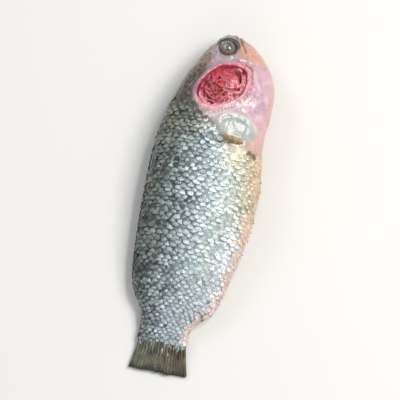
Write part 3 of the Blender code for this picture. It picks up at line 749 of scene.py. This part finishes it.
def scale_plate(sides=14):
    """One plate, domed, with a thick free edge; x runs to the free edge, z out of the skin."""
    corners, uv = [(0.0, 0.0, PLATE_TOP)], [(0.5, 0.5)]
    for reach, height in PLATE_RINGS:
        for k in range(sides):
            angle = 2 * math.pi * k / sides
            x, y = math.cos(angle), math.sin(angle)
            run = PLATE_BACK if x > 0 else PLATE_FRONT
            blunt = 1 - 0.05 * math.cos(4 * angle)
            corners.append((x * reach * run * blunt, y * reach * PLATE_HALF * blunt,
                            height - PLATE_CURVE * y * y))
            uv.append((0.5 + 0.5 * x * reach, 0.5 + 0.5 * y * reach))
    return template("scale_plate", corners, ringed(len(PLATE_RINGS), sides), uv)


def on_flank(along, share, side):
    """Row places on the smooth skin of one flank, from the snout and round from the back ridge."""
    places = []
    for s, f in zip(along, share):
        curve, _ = section(s, GIRTH_STEPS + 1)
        at = np.clip(f, 0, 1) * GIRTH_STEPS
        across, out = (np.interp(at, np.arange(GIRTH_STEPS + 1), curve[:, k]) for k in range(2))
        places.append(in_row(s, across, middle_height(s) + side * out))
    return np.array(places)


def flank_frames(along, share, side):
    """Each place's directions on the flank: towards the tail, aside, and out of the skin."""
    tail_way = on_flank(along + 0.0005, share, side) - on_flank(along - 0.0005, share, side)
    aside = on_flank(along, share + 0.012, side) - on_flank(along, share - 0.012, side)
    out = np.cross(tail_way, aside) * side
    tail_way /= np.linalg.norm(tail_way, axis=1, keepdims=True)
    out /= np.linalg.norm(out, axis=1, keepdims=True)
    return np.stack([tail_way, np.cross(out, tail_way), out], axis=1)


def scale_lattice():
    """Places of the scales on one flank: (along, share of the girth, size share, across)."""
    found = []
    along, column = SCALES_START, 0
    while along < SCALES_END:
        shrink = (0.92 + 0.08 * step_up(0.035, 0.050, along)) * (1 - 0.30 * step_up(0.085, 0.138, along))
        flank, girth = section(along, LATTICE_STEPS)
        pitch = SCALE_PITCH * shrink
        for row in range(-12, 14):
            at = LATERAL_SHARE * girth + (row + 0.5 * (column % 2)) * pitch
            if 0.10 * pitch < at < girth - 0.10 * pitch:
                across = np.interp(at, np.linspace(0, girth, LATTICE_STEPS), flank[:, 0])
                found.append((along, at / girth, shrink, across))
        along += SCALE_STEP * shrink
        column += 1
    return np.array(found)


def by_share(share, stops):
    """Colours between (share, colour) stops."""
    places = [place for place, _ in stops]
    colours = np.array([tint(*colour) for _, colour in stops])
    return np.stack([np.interp(share, places, colours[:, k]) for k in range(3)], axis=-1)


def scale_paint(along, across, rng):
    """The colours of each scale's middle and edge, from where it sits on the flank."""
    back, belly, _ = reaches(along)
    share = (across + back) / (back + belly) + rng.normal(0, 0.025, len(along))
    cool = step_up(0.070, 0.100, along) * step_up(0.70, 0.85, share)
    tail = step_up(0.105, 0.128, along) * (0.55 + 0.45 * step_up(0.15, 0.40, share))
    nape = (1 - step_up(0.043, 0.060, along)) * (1 - step_up(-0.006, 0.004, across))
    pale = bump(lens(along, across, *PALE_PATCH), 0, 1.1)
    yellow = bump(lens(along, across, *YELLOW_PATCH), 0, 1.1)
    # Peach along the belly's edge: partly the scales' own colour, partly painted rim light
    peach_and_rim_light = step_up(0.875, 1.0, share)
    streak = step_up(SCALES_END - 0.0005, SCALES_END + 0.0005, along)
    middle, edge = by_share(share, MIDDLES), by_share(share, EDGES)
    for mask, light, on_middle, dark, on_edge in (
            (cool, (210, 220, 226), 1, (150, 160, 168), 0.85),
            (tail, (186, 195, 203), 0.6, (46, 50, 60), 0.7),
            (nape, (120, 122, 97), 0.8, (24, 22, 14), 0.8),
            (pale, (184, 186, 174), 0.9, (92, 96, 84), 0.8),
            (yellow, (238, 232, 200), 0.9, (212, 198, 158), 0.9),
            (peach_and_rim_light, (238, 206, 178), 0.8, (206, 174, 148), 0.8),
            (peach_and_rim_light * step_up(0.085, 0.110, along), (232, 216, 208), 0.8, (188, 170, 162), 0.8),
            (streak, (142, 152, 150), 1, (72, 74, 66), 1)):
        middle, edge = painted(middle, (light, mask * on_middle)), painted(edge, (dark, mask * on_edge))
    strength = rng.uniform(0.75, 1.0, len(along)) - 0.45 * share * rng.uniform(0, 1, len(along))
    return middle, painted(middle, (edge, np.clip(strength, 0, 1)))


def scale_markings_group():
    """The net over the scales: light middles, dark edges, growth rings and ribs on each plate."""
    tree = bpy.data.node_groups.new("scale markings", "ShaderNodeTree")
    given = add_sockets(tree, (("Middle", "Color"), ("Edge", "Color"), ("Tone", "Float")),
                        (("Colour", "Color"), ("Edge mask", "Float"), ("Height", "Float")))
    own = node(tree, "ShaderNodeUVMap", uv_map="own").outputs["UV"]
    parts = node(tree, "ShaderNodeSeparateXYZ", {0: own})
    place = node(tree, "ShaderNodeTexCoord").outputs["Object"]
    noise = node(tree, "ShaderNodeTexNoise", {"Vector": place, "Scale": 1300.0, "Detail": 3.0})
    wobble = sum_of(tree, noise.outputs["Fac"], 0.5, "SUBTRACT")
    off = []
    for way, centre, spread in zip("XY", MARK_CENTRE, MARK_SPREAD):
        run = sum_of(tree, sum_of(tree, parts.outputs[way], centre, "SUBTRACT"), spread, "MULTIPLY")
        off.append(sum_of(tree, run, 2.0, "POWER"))
    far = sum_of(tree, *off)
    uneven = sum_of(tree, wobble, MARK_RAGGED, "MULTIPLY_ADD", far)
    mask = node(tree, "ShaderNodeMapRange", {
        "Value": uneven, "From Min": MARK_BLEND[0], "From Max": MARK_BLEND[1]},
                interpolation_type="SMOOTHSTEP").outputs["Result"]
    blend = node(tree, "ShaderNodeMix", {0: mask, 6: given["Middle"], 7: given["Edge"]},
                 data_type="RGBA").outputs[2]
    grain = sum_of(tree, wobble, 1.1, "MULTIPLY_ADD", given["Tone"])
    toned = node(tree, "ShaderNodeHueSaturation", {"Color": blend, "Value": grain})
    ribs = node(tree, "ShaderNodeTexWave", {"Vector": own, "Scale": RIBS, "Distortion": 0.8},
                bands_direction="Y")
    rings = sum_of(tree, far, GROWTH_RINGS, "MULTIPLY")
    ringed_height = node(tree, "ShaderNodeMath", {0: rings}, operation="SINE").outputs[0]
    height = sum_of(tree, ringed_height, 0.25, "MULTIPLY_ADD", ribs.outputs["Fac"])
    out = tree.nodes.new("NodeGroupOutput").inputs
    link(tree, toned.outputs["Color"], out["Colour"])
    link(tree, mask, out["Edge mask"])
    link(tree, height, out["Height"])
    return tree


scale_finish, scale_tree, scale_shader = new_finish("wet scales", 0.3, coat=0.5, coat_roughness=0.12)
marks = scale_tree.nodes.new("ShaderNodeGroup")
marks.node_tree = scale_markings_group()
for key, output in (("Middle", "Color"), ("Edge", "Color"), ("Tone", "Fac")):
    value = node(scale_tree, "ShaderNodeAttribute", attribute_name=key.lower()).outputs[output]
    link(scale_tree, value, marks.inputs[key])
link(scale_tree, marks.outputs["Colour"], scale_shader.inputs["Base Color"])
for key, in_middle, on_edge in (("Roughness", 0.24, 0.5), ("Metallic", 0.30, 0.05)):
    value = node(scale_tree, "ShaderNodeMapRange", {
        "Value": marks.outputs["Edge mask"], "To Min": in_middle, "To Max": on_edge}).outputs["Result"]
    link(scale_tree, value, scale_shader.inputs[key])
scale_bump = node(scale_tree, "ShaderNodeBump", {
    "Height": marks.outputs["Height"], "Strength": 0.3, "Distance": 0.0002})
link(scale_tree, scale_bump.outputs["Normal"], scale_shader.inputs["Normal"])

plate = scale_plate()
lattice = scale_lattice()
lattice_reach, _ = oval_polar(lattice[:, 0], lattice[:, 3])
lattice = lattice[(lattice[:, 0] > scales_begin(lattice[:, 3])) & (lattice_reach > GILL_CLEARANCE)]
for side, word in ((1, "right"), (-1, "left")):
    # The last scales, on the tail's root, are mere streaks
    rng = np.random.default_rng(21 + side)
    streak_s = SCALES_END + 0.0045 * rng.uniform(0, 1, STREAKS) ** 1.5
    streak_share = np.clip(rng.normal(0.42, 0.26, STREAKS), 0.05, 0.95)
    back, belly, _ = reaches(streak_s)
    streak_across = -back + streak_share * (back + belly)
    streaks = np.stack([streak_s, streak_share, np.full(STREAKS, STREAK_SIZE), streak_across], axis=1)
    s, share, size, across = np.concatenate([lattice, streaks]).T
    count = len(s)
    s = s + rng.normal(0, SCATTER_ALONG, count)
    share = np.clip(share + rng.normal(0, SCATTER_ROUND, count), 0.012, 0.988)

    # Each plate sits on the skin's relief, its free edge raised
    frames = flank_frames(s, share, side)
    lift = relief(s, across) * np.sin(share * math.pi) ** 0.4 - 0.00010
    places = on_flank(s, share, side) + frames[:, 2] * lift[:, None]
    tail_way = frames[:, 0] * math.cos(PLATE_RISE) + frames[:, 2] * math.sin(PLATE_RISE)
    frames[:, 2] = frames[:, 2] * math.cos(PLATE_RISE) - frames[:, 0] * math.sin(PLATE_RISE)
    frames[:, 0] = tail_way
    sizes = np.repeat(size[:, None], 3, axis=1)
    sizes[len(lattice):] *= np.array(STREAK_SHAPE) * rng.uniform(0.7, 1.3, (STREAKS, 1))

    # The tone varies from patch to patch and from plate to plate, most of all on the back
    middle, edge = scale_paint(s, across, rng)
    on_back = 1 - step_up(0.35, 0.55, share)
    patchy = ripple(s, across, 0.008, 17) * (0.045 + 0.20 * on_back)
    # A few plates are darker and a few brighter; the bright ones are painted glints
    patchy += np.interp(rng.uniform(0, 1, count), ODD_SHARES, DIM_AND_GLINT_TONES) * (0.35 + 0.65 * on_back)
    spread = rng.normal(0, 1, count) * (0.08 + 0.05 * on_back)
    tone = np.clip(1 + spread + rng.normal(0, 0.14, count) * on_back, 0.62, 1.5) * (1 + patchy)
    scales = set_out(f"scales_{word}", plate, scale_finish, places, frames, sizes,
                     {"middle": middle, "edge": edge, "tone": tone}, 4 + side, SIZE_SPREAD, TILT_SPREAD)
    hand_over(scales, ["fish_body"])

# The gills: with the cover cut away they lie open in an oval hollow. A swelling of pink muscle lies at
# the front, two bony arches with fringes of fine red filaments bow round it, and towards the back sit
# the frilled plates of the breathing organ. All of it is wet and soft.
BED_DEPTH, BED_THICKNESS, BED_RINGS, BED_SIDES = 0.0026, 0.0026, 60, 150
FRILL_COUNT, FRILL_CENTRE, FRILL_SPACING, FRILL_SPREAD = 4, (0.0298, -0.0006), 0.0021, math.radians(125)
FRILL_LEVELS, FRILL_PITCH = ((-0.5, 0.5), (0.1, 0.42), (0.6, 0.30), (0.92, 0.26), (1.0, 0.12)), 0.0030
FRILL_HEIGHT, FRILL_THICKNESS, FRILL_SWING, FRILL_FLUTTER = 0.0013, 0.0011, 0.00055, 0.00020
ARCH_CENTRE, ARCH_BOWS, ARCH_SPREAD = (0.0219, 0.0055), (0.0056, 0.0077), math.radians(78)
ARCH_STEPS, ARCH_SIDES, ARCH_THICKNESS = 70, 14, 0.00085
FILAMENT, FILAMENT_PITCH, FILAMENT_LEANS = (0.0017, 0.00022, 0.00016), 0.00017, (0.15, 0.75)
DOME = ((0.0223, 0.0063), (0.0048, 0.0052), 0)
BRIGHT_PLACE, LUMP_PLACE = (0.0264, 0.0009), (0.0306, 0.0064)
PITS, PIT_RADIUS = 26, 0.0009


def in_oval(angle, reach):
    """(along, across) at a direction and a share of the way to the opening's rim."""
    long_axis = reach * GILL_LONG * np.cos(angle)
    short_axis = reach * GILL_SHORT * np.sin(angle)
    return (GILL_PLACE[0] - long_axis * math.sin(GILL_LEAN) + short_axis * math.cos(GILL_LEAN),
            GILL_PLACE[1] + long_axis * math.cos(GILL_LEAN) + short_axis * math.sin(GILL_LEAN))


def kept_inside(along, across, most=0.86):
    """The same places, drawn in where they would leave the opening."""
    reach, _ = oval_polar(along, across)
    return drawn_in(along, across, np.minimum(1, most / np.maximum(reach, 1e-6)))


pit_rng = np.random.default_rng(47)
pit_angles, pit_reaches = pit_rng.uniform(1.2, 5.2, PITS), pit_rng.uniform(0.15, 0.85, PITS)
pits = np.stack(in_oval(pit_angles, pit_reaches), axis=1)


def lip_inside(along, across):
    """Where the cut flesh swells into the opening: thick low down, thinner at the throat."""
    reach, angle = oval_polar(along, across)
    ragged = reach + 0.05 * ripple(along, across, 0.0030, 20)
    low = step_up(0.76, 0.90, ragged) * facing(angle, 85, 215, 25)
    return np.clip(low + step_up(0.84, 0.94, ragged) * facing(angle, -20, 85, 25), 0, 1)


def bed_depth(along, across):
    """How far the bed of the gills lies under the skin, how much of it is muscle, and how much painted shade
    its pits and slit take.
    """
    reach, angle = oval_polar(along, across)
    dome = bump(lens(along, across, *DOME), 0, 1.25)
    pitted = sum(bump(from_centre(along, across, pit), 0, PIT_RADIUS) for pit in pits) * (1 - dome)
    slit = bump(reach, 0.76, 0.12) * facing(angle, -25, 70, 30)
    depth = BED_DEPTH - 0.0009 * dome + 0.0006 * pitted + 0.0012 * slit
    depth -= 0.0018 * bump(from_centre(along, across, LUMP_PLACE), 0, 0.0036)
    depth += 0.00030 * ripple(along, across, 0.0026, 14) * (1 - 0.8 * dome)
    lip = lip_inside(along, across)
    return depth * (1 - lip) + 0.0007 * lip, dome, np.clip(pitted + slit, 0, 1) * (1 - lip)


def gill_paint(along, across, height=0.5):
    """Crimson in the hollows, brighter in the middle of the opening, and a painted pink highlight where flesh
    stands up.
    """
    _, angle = oval_polar(along, across)
    blotch = ripple(along, across, 0.0030, 15)
    lump = bump(from_centre(along, across, LUMP_PLACE), 0, 0.0040)
    lip = lip_inside(along, across)
    return painted(
        all_over(along, (176, 48, 70)),
        ((206, 40, 70), bump(from_centre(along, across, BRIGHT_PLACE), 0, 0.0055)),
        ((232, 160, 164), step_up(-0.7, 0.7, blotch + 0.4) * facing(angle, 0, 120, 50) * 0.85),
        ((88, 12, 32), facing(angle, 115, 270, 60) * step_up(-0.3, 0.6, -blotch) * 0.9),
        ((226, 146, 148), lump * step_up(-1.3, 0.2, blotch)),
        ((220, 156, 162), lip * 0.95),
        ((190, 96, 110), lip * step_up(0.0, 0.9, -blotch) * 0.7),
        # Painted highlight: the higher the flesh stands, the pinker
        ((224, 134, 140), np.clip(np.zeros(np.shape(along)) + height - 0.30, 0, 0.70) * 0.65))


gill_finish = painted_flesh("wet gill flesh", 0.0008, 0.60, 0.55, 0.36,
                            coat=0.45, coat_roughness=0.15, subsurface=0.20)


def gill_row(along, across, depth, side):
    """Row places at this depth under the skin of one flank."""
    return in_row(along, across, middle_height(along) + side * (skin_height(along, across) - depth))


def leaf_blade():
    """One gill filament: a flat tapering blade, 1 long in x, 1 wide in y and 1 thick in z."""
    corners = [(1.04, 0.0, 0.0)]
    for x, wide in ((1.0, 0.25), (0.85, 0.7), (0.5, 1.0), (0.02, 0.9)):
        corners += [(x, wide / 2, 0.1), (x, 0.0, 0.5), (x, -wide / 2, 0.1), (x, 0.0, -0.4)]
    return template("filament", corners, ringed(4, 4))


def grown_along(way, across):
    """A piece's own directions: the way it grows, the way square to that and to across, and the third."""
    way = way / np.linalg.norm(way)
    beside = np.cross(across, way)
    beside /= np.linalg.norm(beside)
    return [way, beside, np.cross(way, beside)]


filament = leaf_blade()
for side, word in ((1, "right"), (-1, "left")):
    angles = np.linspace(0, 2 * math.pi, BED_SIDES, endpoint=False)
    rings, colours = [], []
    for reach in np.linspace(0.02, 0.985, BED_RINGS):
        s, t = in_oval(angles, reach)
        depth, dome, dark = bed_depth(s, t)
        rings.append(gill_row(s, t, depth, side))
        # The muscle dome is rose; the pits and the slit take painted shade
        colours.append(painted(gill_paint(s, t), ((194, 76, 90), np.clip(dome * 1.2, 0, 1) * 0.85),
                               ((92, 14, 30), np.clip(dark, 0, 1) * 0.85)))
    for reach in (0.96, 0.5, 0.04):
        rings.append(gill_row(*in_oval(angles, reach), BED_DEPTH + BED_THICKNESS, side))
        colours.append(colours[-1])
    bed = closed_loft(f"gill_bed_{word}", rings, colours, gill_finish)
    hand_over(bed, ["gill_basket"])

    rng = np.random.default_rng(61 + side)
    for index in range(FRILL_COUNT):
        turns = np.linspace(-1, 1, 40 + 26 * index)
        angle = GILL_LEAN + FRILL_SPREAD * turns
        run = FRILL_SPACING * (index + 0.7)
        waves = run * FRILL_SPREAD * 2 / FRILL_PITCH
        ends = np.sin((turns + 1) / 2 * math.pi) ** 0.35
        height = (FRILL_HEIGHT + 0.0004 * np.sin(angle * 5 + index)) * ends
        phase = rng.uniform(0, 6)
        outer, inner = [], []
        for level, thick in FRILL_LEVELS:
            frill = FRILL_SWING * np.sin(turns * math.pi * waves / 2 + phase) * (0.45 + 0.75 * level)
            frill += FRILL_FLUTTER * np.sin(turns * math.pi * waves * 1.31 + phase * 2) * max(level, 0)
            scallop = 1 + 0.12 * np.sin(turns * math.pi * waves + phase) * max(level, 0)
            for way, wall in ((1, outer), (-1, inner)):
                radius = run + frill + way * thick * FRILL_THICKNESS
                s, t = kept_inside(FRILL_CENTRE[0] + radius * np.cos(angle),
                                   FRILL_CENTRE[1] + radius * np.sin(angle))
                wall.append((gill_row(s, t, BED_DEPTH - level * height * scallop, side),
                             gill_paint(s, t, 0.25 + 0.75 * level)))
        rows = outer + inner[::-1]
        sections = [np.array([places[k] for places, _ in rows]) for k in range(len(turns))]
        shades = [np.array([shade[k] for _, shade in rows]) for k in range(len(turns))]
        frilled = closed_loft(f"gill_plate_{word}_{index}", sections, shades, gill_finish)
        hand_over(frilled, ["gill_basket"])

    for index, bow in enumerate(ARCH_BOWS):
        turns = np.linspace(-1, 1, ARCH_STEPS)
        angle = GILL_LEAN + ARCH_SPREAD * turns
        around = np.linspace(0, 2 * math.pi, ARCH_SIDES, endpoint=False)
        crooked = bow * (1 + 0.06 * np.sin(turns * 4 + 2 * index))
        s, t = kept_inside(ARCH_CENTRE[0] + crooked * np.cos(angle), ARCH_CENTRE[1] + crooked * np.sin(angle))
        thick = ARCH_THICKNESS * np.sin((turns + 1) / 2 * math.pi) ** 0.3
        thick = thick * (1 + 0.16 * np.sin(turns * 19 + index))
        sections, shades = [], []
        for k in range(ARCH_STEPS):
            a = s[k] + thick[k] * np.cos(around) * math.cos(angle[k])
            c = t[k] + thick[k] * np.cos(around) * math.sin(angle[k])
            sections.append(gill_row(a, c, BED_DEPTH - 0.0005 - thick[k] * np.sin(around), side))
            # The arch's outer side takes more of the painted pink highlight
            shades.append(gill_paint(a, c, 0.58 + 0.15 * np.sin(around)))
        arch = closed_loft(f"gill_arch_{word}_{index}", sections, shades, gill_finish)
        hand_over(arch, ["gill_basket"])

        places, frames, sizes, paints = [], [], [], []
        for row, lean in enumerate(FILAMENT_LEANS):
            for turn in np.linspace(-0.95, 0.95, int(bow / FILAMENT_PITCH)):
                direction = GILL_LEAN + ARCH_SPREAD * (turn + rng.normal(0, 0.006))
                a, c = kept_inside(ARCH_CENTRE[0] + bow * math.cos(direction),
                                   ARCH_CENTRE[1] + bow * math.sin(direction))
                places.append(gill_row(np.array(a), np.array(c), BED_DEPTH - 0.0007 - 0.0003 * row, side))
                outward = np.array([math.sin(direction), -math.cos(direction), 0.0])
                way = outward * math.cos(lean) + np.array([0, 0, side * math.sin(lean) * 0.6 - side * 0.25])
                frames.append(grown_along(way + rng.normal(0, 0.08, 3), [0, 0, float(side)]))
                sizes.append(np.array(FILAMENT) * (rng.uniform(0.8, 1.15), 1, 1))
                paints.append(np.array(tint(178, 44, 62)) * rng.uniform(0.7, 1.25))
        fringe = set_out(f"gill_fringe_{word}_{index}", filament, gill_finish, places, frames, sizes,
                         {"paint": paints}, 8 + index)
        hand_over(fringe, ["gill_basket"])

# The eyes: clouded wet balls set in sockets, each with a brown iris round a wide dark pupil, with painted
# shade over their upper part. They are drawn ring by ring from the middle of the pupil outwards and lie loose
# in the skin.
EYE_RINGS, EYE_SIDES, CORNEA = 46, 64, math.radians(48)
PUPIL, IRIS = math.radians(25), math.radians(52)
eye_finish = painted_flesh("wet eye", 0.0007, 0.25, 0.05, 0.10, coat=1.0, coat_roughness=0.03)
for side, word in ((1, "right"), (-1, "left")):
    centre = in_row(*EYE_PLACE, middle_height(EYE_PLACE[0]) + side * EYE_SPREAD)
    around = np.linspace(0, 2 * math.pi, EYE_SIDES, endpoint=False)
    rings, colours = [], []
    for fall in np.linspace(0.02, math.pi - 0.05, EYE_RINGS):
        radius = EYE_RADIUS * (1 + 0.05 * bump(np.array(fall), 0, CORNEA))
        x, y = math.sin(fall) * np.cos(around), math.sin(fall) * np.sin(around)
        rings.append(centre + radius * np.stack([x, y, np.full(EYE_SIDES, side * math.cos(fall))], axis=1))
        streak = 0.5 + 0.5 * np.sin(around * 23 + 3 * np.sin(around * 7))
        edge = fall + 0.03 * np.sin(around * 2 + 0.5)
        white = step_up(IRIS, IRIS + 0.2, edge)
        cloud = ripple(x * EYE_RADIUS, y * EYE_RADIUS, 0.0022, 18)
        colours.append(painted(
            all_over(around, (66, 58, 56)),
            ((122, 104, 92), step_up(PUPIL - 0.12, PUPIL + 0.10, edge)),
            ((74, 54, 42), bump(edge, IRIS - 0.12, 0.30) * streak * 0.45),
            # A grey patch over the pupil: partly the clouded eye, partly a painted reflection
            ((166, 164, 158), bump(np.hypot(x + 0.22, y - 0.02), 0, 0.50) * step_up(-1.0, 0.6, cloud)),
            ((108, 116, 112), step_up(0.15, 0.60, x) * 0.5),
            # Painted shade over the eye's upper part, on the iris and on the outer ring
            ((56, 54, 40), step_up(0.30, 0.66, y) * 0.8),
            ((116, 102, 98), white),
            ((30, 27, 18), white * step_up(0.0, 0.4, y))))
    eye = closed_loft(f"eyeball_{word}", rings, colours, eye_finish)
    hand_over(eye, [f"eye_{word}"])

# The tail fin, cut short and square. Stiff rays run out of the root and fork once, a thin skin joins
# them, and the cut leaves it ragged.
RAYS, FIN_START, FIN_STEPS, FIN_ACROSS = 17, 0.1325, 60, 170
RAY_JOINT, WEB_THICKNESS, RAY_THICKNESS = 0.00055, 0.00018, 0.00036
fin_finish = painted_flesh("fin skin", 0.0009, 0.6, 0.4, 0.45, coat=0.2, coat_roughness=0.2)
rng = np.random.default_rng(31)
ray_ends = rng.uniform(-0.0010, 0.0003, RAYS + 2)
even = np.linspace(0, 1, FIN_ACROSS + 1)
fin_share = (1 - np.cos(even * math.pi)) / 2 * 0.30 + even * 0.70
ray_place = fin_share * RAYS
ray_wave = np.abs(np.sin(math.pi * ray_place))
fork_wave = np.abs(np.sin(2 * math.pi * ray_place))
end_shift = np.interp(ray_place, np.arange(RAYS + 2), ray_ends) - 0.0008 * (1 - ray_wave)
fin_rings, fin_colours = [], []
for k in range(FIN_STEPS + 1):
    way = k / FIN_STEPS
    along = FIN_START + (LENGTH + end_shift - FIN_START) * way
    back, belly, half = reaches(np.clip(along, 0, LENGTH))
    across = -back + fin_share * (back + belly)
    forked = step_up(0.45, 0.75, way)
    wave = ray_wave * (1 - forked) + np.maximum(ray_wave * 0.45, fork_wave) * forked
    jointed = 1 + 0.04 * np.sin(along / RAY_JOINT * math.pi)
    rounded = np.sqrt(np.clip(1 - (2 * fin_share - 1) ** 8, 0, 1))
    thick = (WEB_THICKNESS + RAY_THICKNESS * wave ** 1.4 * (1 - 0.4 * way) * jointed) * rounded
    thick = thick * (1 - 0.5 * step_up(0.95, 1.0, way)) + 0.00002
    sway = 0.00020 * np.sin(ray_place * 1.3) * way + 0.0005 * way * np.sin(fin_share * 4.5)
    middle = middle_height(np.clip(along, 0, LENGTH)) + sway
    shade = painted(all_over(fin_share, (63, 52, 16)),
                    ((78, 83, 62), np.clip(1.2 - 1.4 * fin_share, 0, 1)),
                    ((32, 29, 18), (1 - wave) * 0.8))
    shade *= (1 + 0.60 * ripple(ray_place * 0.003, np.full(FIN_ACROSS + 1, along), 0.009, 22))[:, None]
    drawn = ripple(ray_place * 0.004, np.full(FIN_ACROSS + 1, along * 0.35), 0.006, 19)
    on_ray = bump(wave, 1, 0.45) * step_up(-0.4, 0.6, drawn) * (0.9 - 0.6 * way)
    shade = painted(shade,
                    ((136, 142, 118), on_ray * (1 - fin_share)),
                    ((120, 96, 42), on_ray * fin_share),
                    ((28, 25, 17), np.full(FIN_ACROSS + 1, step_up(0.84, 1.0, way)) * 0.7))
    right, left = in_row(along, across, middle + thick), in_row(along, across, middle - thick)
    fin_rings.append(np.concatenate([right, left[-2:0:-1]]))
    fin_colours.append(np.concatenate([shade, shade[-2:0:-1]]))
tail_fin = closed_loft("tail_fin", fin_rings, fin_colours, fin_finish)
hand_over(tail_fin, ["fish_body"])

# The trimmed fins: the cut ends of bony spines and soft rays, in rows along the back and behind the
# vent, in a slit behind each shoulder and in a pair under the throat, with the skin drawn up round them.
SPINE, RAY, PAIRED_RAY = (0.0008, 0.0009, 0.0009), (0.0006, 0.0005, 0.0005), (0.0016, 0.00062, 0.00062)
PELVIC_PLACE, PELVIC_SIZE, PELVIC_TURN = (0.0545, 0.0205), (0.0008, 0.0017), math.radians(-20)
SEAM_STEPS, SEAM_SIDES, SEAM_TALL, SEAM_WIDE = 160, 12, 0.00055, 0.00080


def cut_spine():
    """One cut spine or ray: tapering, 1 tall in x, with a hollow in its cut end."""
    sides = 8
    corners = [(0.93, 0.0, 0.0)]
    for x, wide in ((1.0, 0.26), (0.96, 0.36), (0.5, 0.44), (0.0, 0.56), (-0.6, 0.58)):
        corners += [(x, wide * math.cos(2 * math.pi * k / sides), wide * math.sin(2 * math.pi * k / sides))
                    for k in range(sides)]
    return template("cut_spine", corners, ringed(5, sides))


def ridge_reach(along, way):
    """How far across the axis the back's ridge lies, for way -1, or the belly's, for way 1."""
    back, belly, _ = reaches(along)
    return -back if way < 0 else belly


def spine_row(name, start, end, across_way, kinds, colour, seed):
    """Spines and rays along a ridge of the body, leaning towards the tail."""
    rng = np.random.default_rng(seed)
    s = np.linspace(start, end, len(kinds)) + rng.normal(0, 0.0002, len(kinds))
    places = in_row(s, ridge_reach(s, across_way), middle_height(s) + rng.normal(0, 0.00012, len(kinds)))
    frames, sizes, paints = [], [], []
    for kind in kinds:
        lean = rng.uniform(0.5, 0.75)
        way = np.array([across_way * math.cos(lean), -math.sin(lean), rng.normal(0, 0.06)])
        frames.append(grown_along(way, [0, 0, 1.0]))
        sizes.append(np.array(kind) * rng.uniform(0.55, 1.2))
        paints.append(np.array(tint(*colour)) * rng.uniform(0.6, 1.2))
    row = set_out(name, spine, fin_finish, places, frames, sizes, {"paint": paints}, seed)
    hand_over(row, ["fish_body"])


def fin_seam(name, start, end, across_way, colour, seed):
    """The low uneven ridge of skin that the trimmed fin stands in."""
    waves = np.random.default_rng(seed).uniform(0, 6, 3)
    around = np.linspace(0, 2 * math.pi, SEAM_SIDES, endpoint=False)
    rings, colours = [], []
    for way in np.linspace(0, 1, SEAM_STEPS):
        s = start + (end - start) * way
        swell = max(math.sin(way * math.pi), 0) ** 0.3 + 0.02
        uneven = 1 + 0.25 * math.sin(s * 3600 + waves[0]) + 0.2 * math.sin(s * 1500 + waves[1])
        tall = SEAM_TALL * swell * uneven
        wide = SEAM_WIDE * swell * (1 + 0.1 * math.sin(s * 2100 + waves[2]))
        across = ridge_reach(s, across_way) + across_way * tall * np.cos(around)
        rings.append(in_row(np.full(SEAM_SIDES, s), across, middle_height(s) + wide * np.sin(around)))
        colours.append(all_over(around, colour) * (0.9 + 0.25 * (np.cos(around)[:, None] > 0.5)))
    seam = closed_loft(name, rings, colours, fin_finish)
    hand_over(seam, ["fish_body"])


spine = cut_spine()
fin_seam("dorsal_seam", 0.0455, 0.1175, -1, (58, 56, 46), 71)
fin_seam("anal_seam", 0.0795, 0.1205, 1, (204, 182, 166), 72)
spine_row("dorsal_stubs", 0.047, 0.116, -1, [SPINE] * 17 + [RAY] * 9, (104, 98, 80), 73)
spine_row("anal_stubs", 0.081, 0.119, 1, [SPINE] * 10 + [RAY] * 10, (196, 172, 152), 74)

for side, word in ((1, "right"), (-1, "left")):
    rng = np.random.default_rng(81 + side)
    places, frames, sizes, paints = [], [], [], []
    for place, size, turn, count in ((PECTORAL_PLACE, PECTORAL_SIZE, PECTORAL_TURN, 15),
                                     (PELVIC_PLACE, PELVIC_SIZE, PELVIC_TURN, 6)):
        for way in np.linspace(-0.9, 0.9, count):
            a = np.array(place[0] - way * size[1] * math.sin(turn) + rng.normal(0, 0.00010))
            c = np.array(place[1] + way * size[1] * math.cos(turn))
            height = skin_height(a, c) + relief(a, c) + 0.0002
            places.append(in_row(a, c, middle_height(a) + side * height))
            lean = rng.uniform(0.7, 0.95)
            up = np.array([0.15 * way, -math.sin(lean), side * math.cos(lean)])
            frames.append(grown_along(up, [1.0, 0, 0]))
            sizes.append(np.array(PAIRED_RAY) * rng.uniform(0.8, 1.15))
            paints.append(np.array(tint(150, 128, 88)) * rng.uniform(0.6, 1.2))
    stubs = set_out(f"paired_stubs_{word}", spine, fin_finish, places, frames, sizes,
                    {"paint": paints}, 83 + side)
    hand_over(stubs, ["fish_body"])
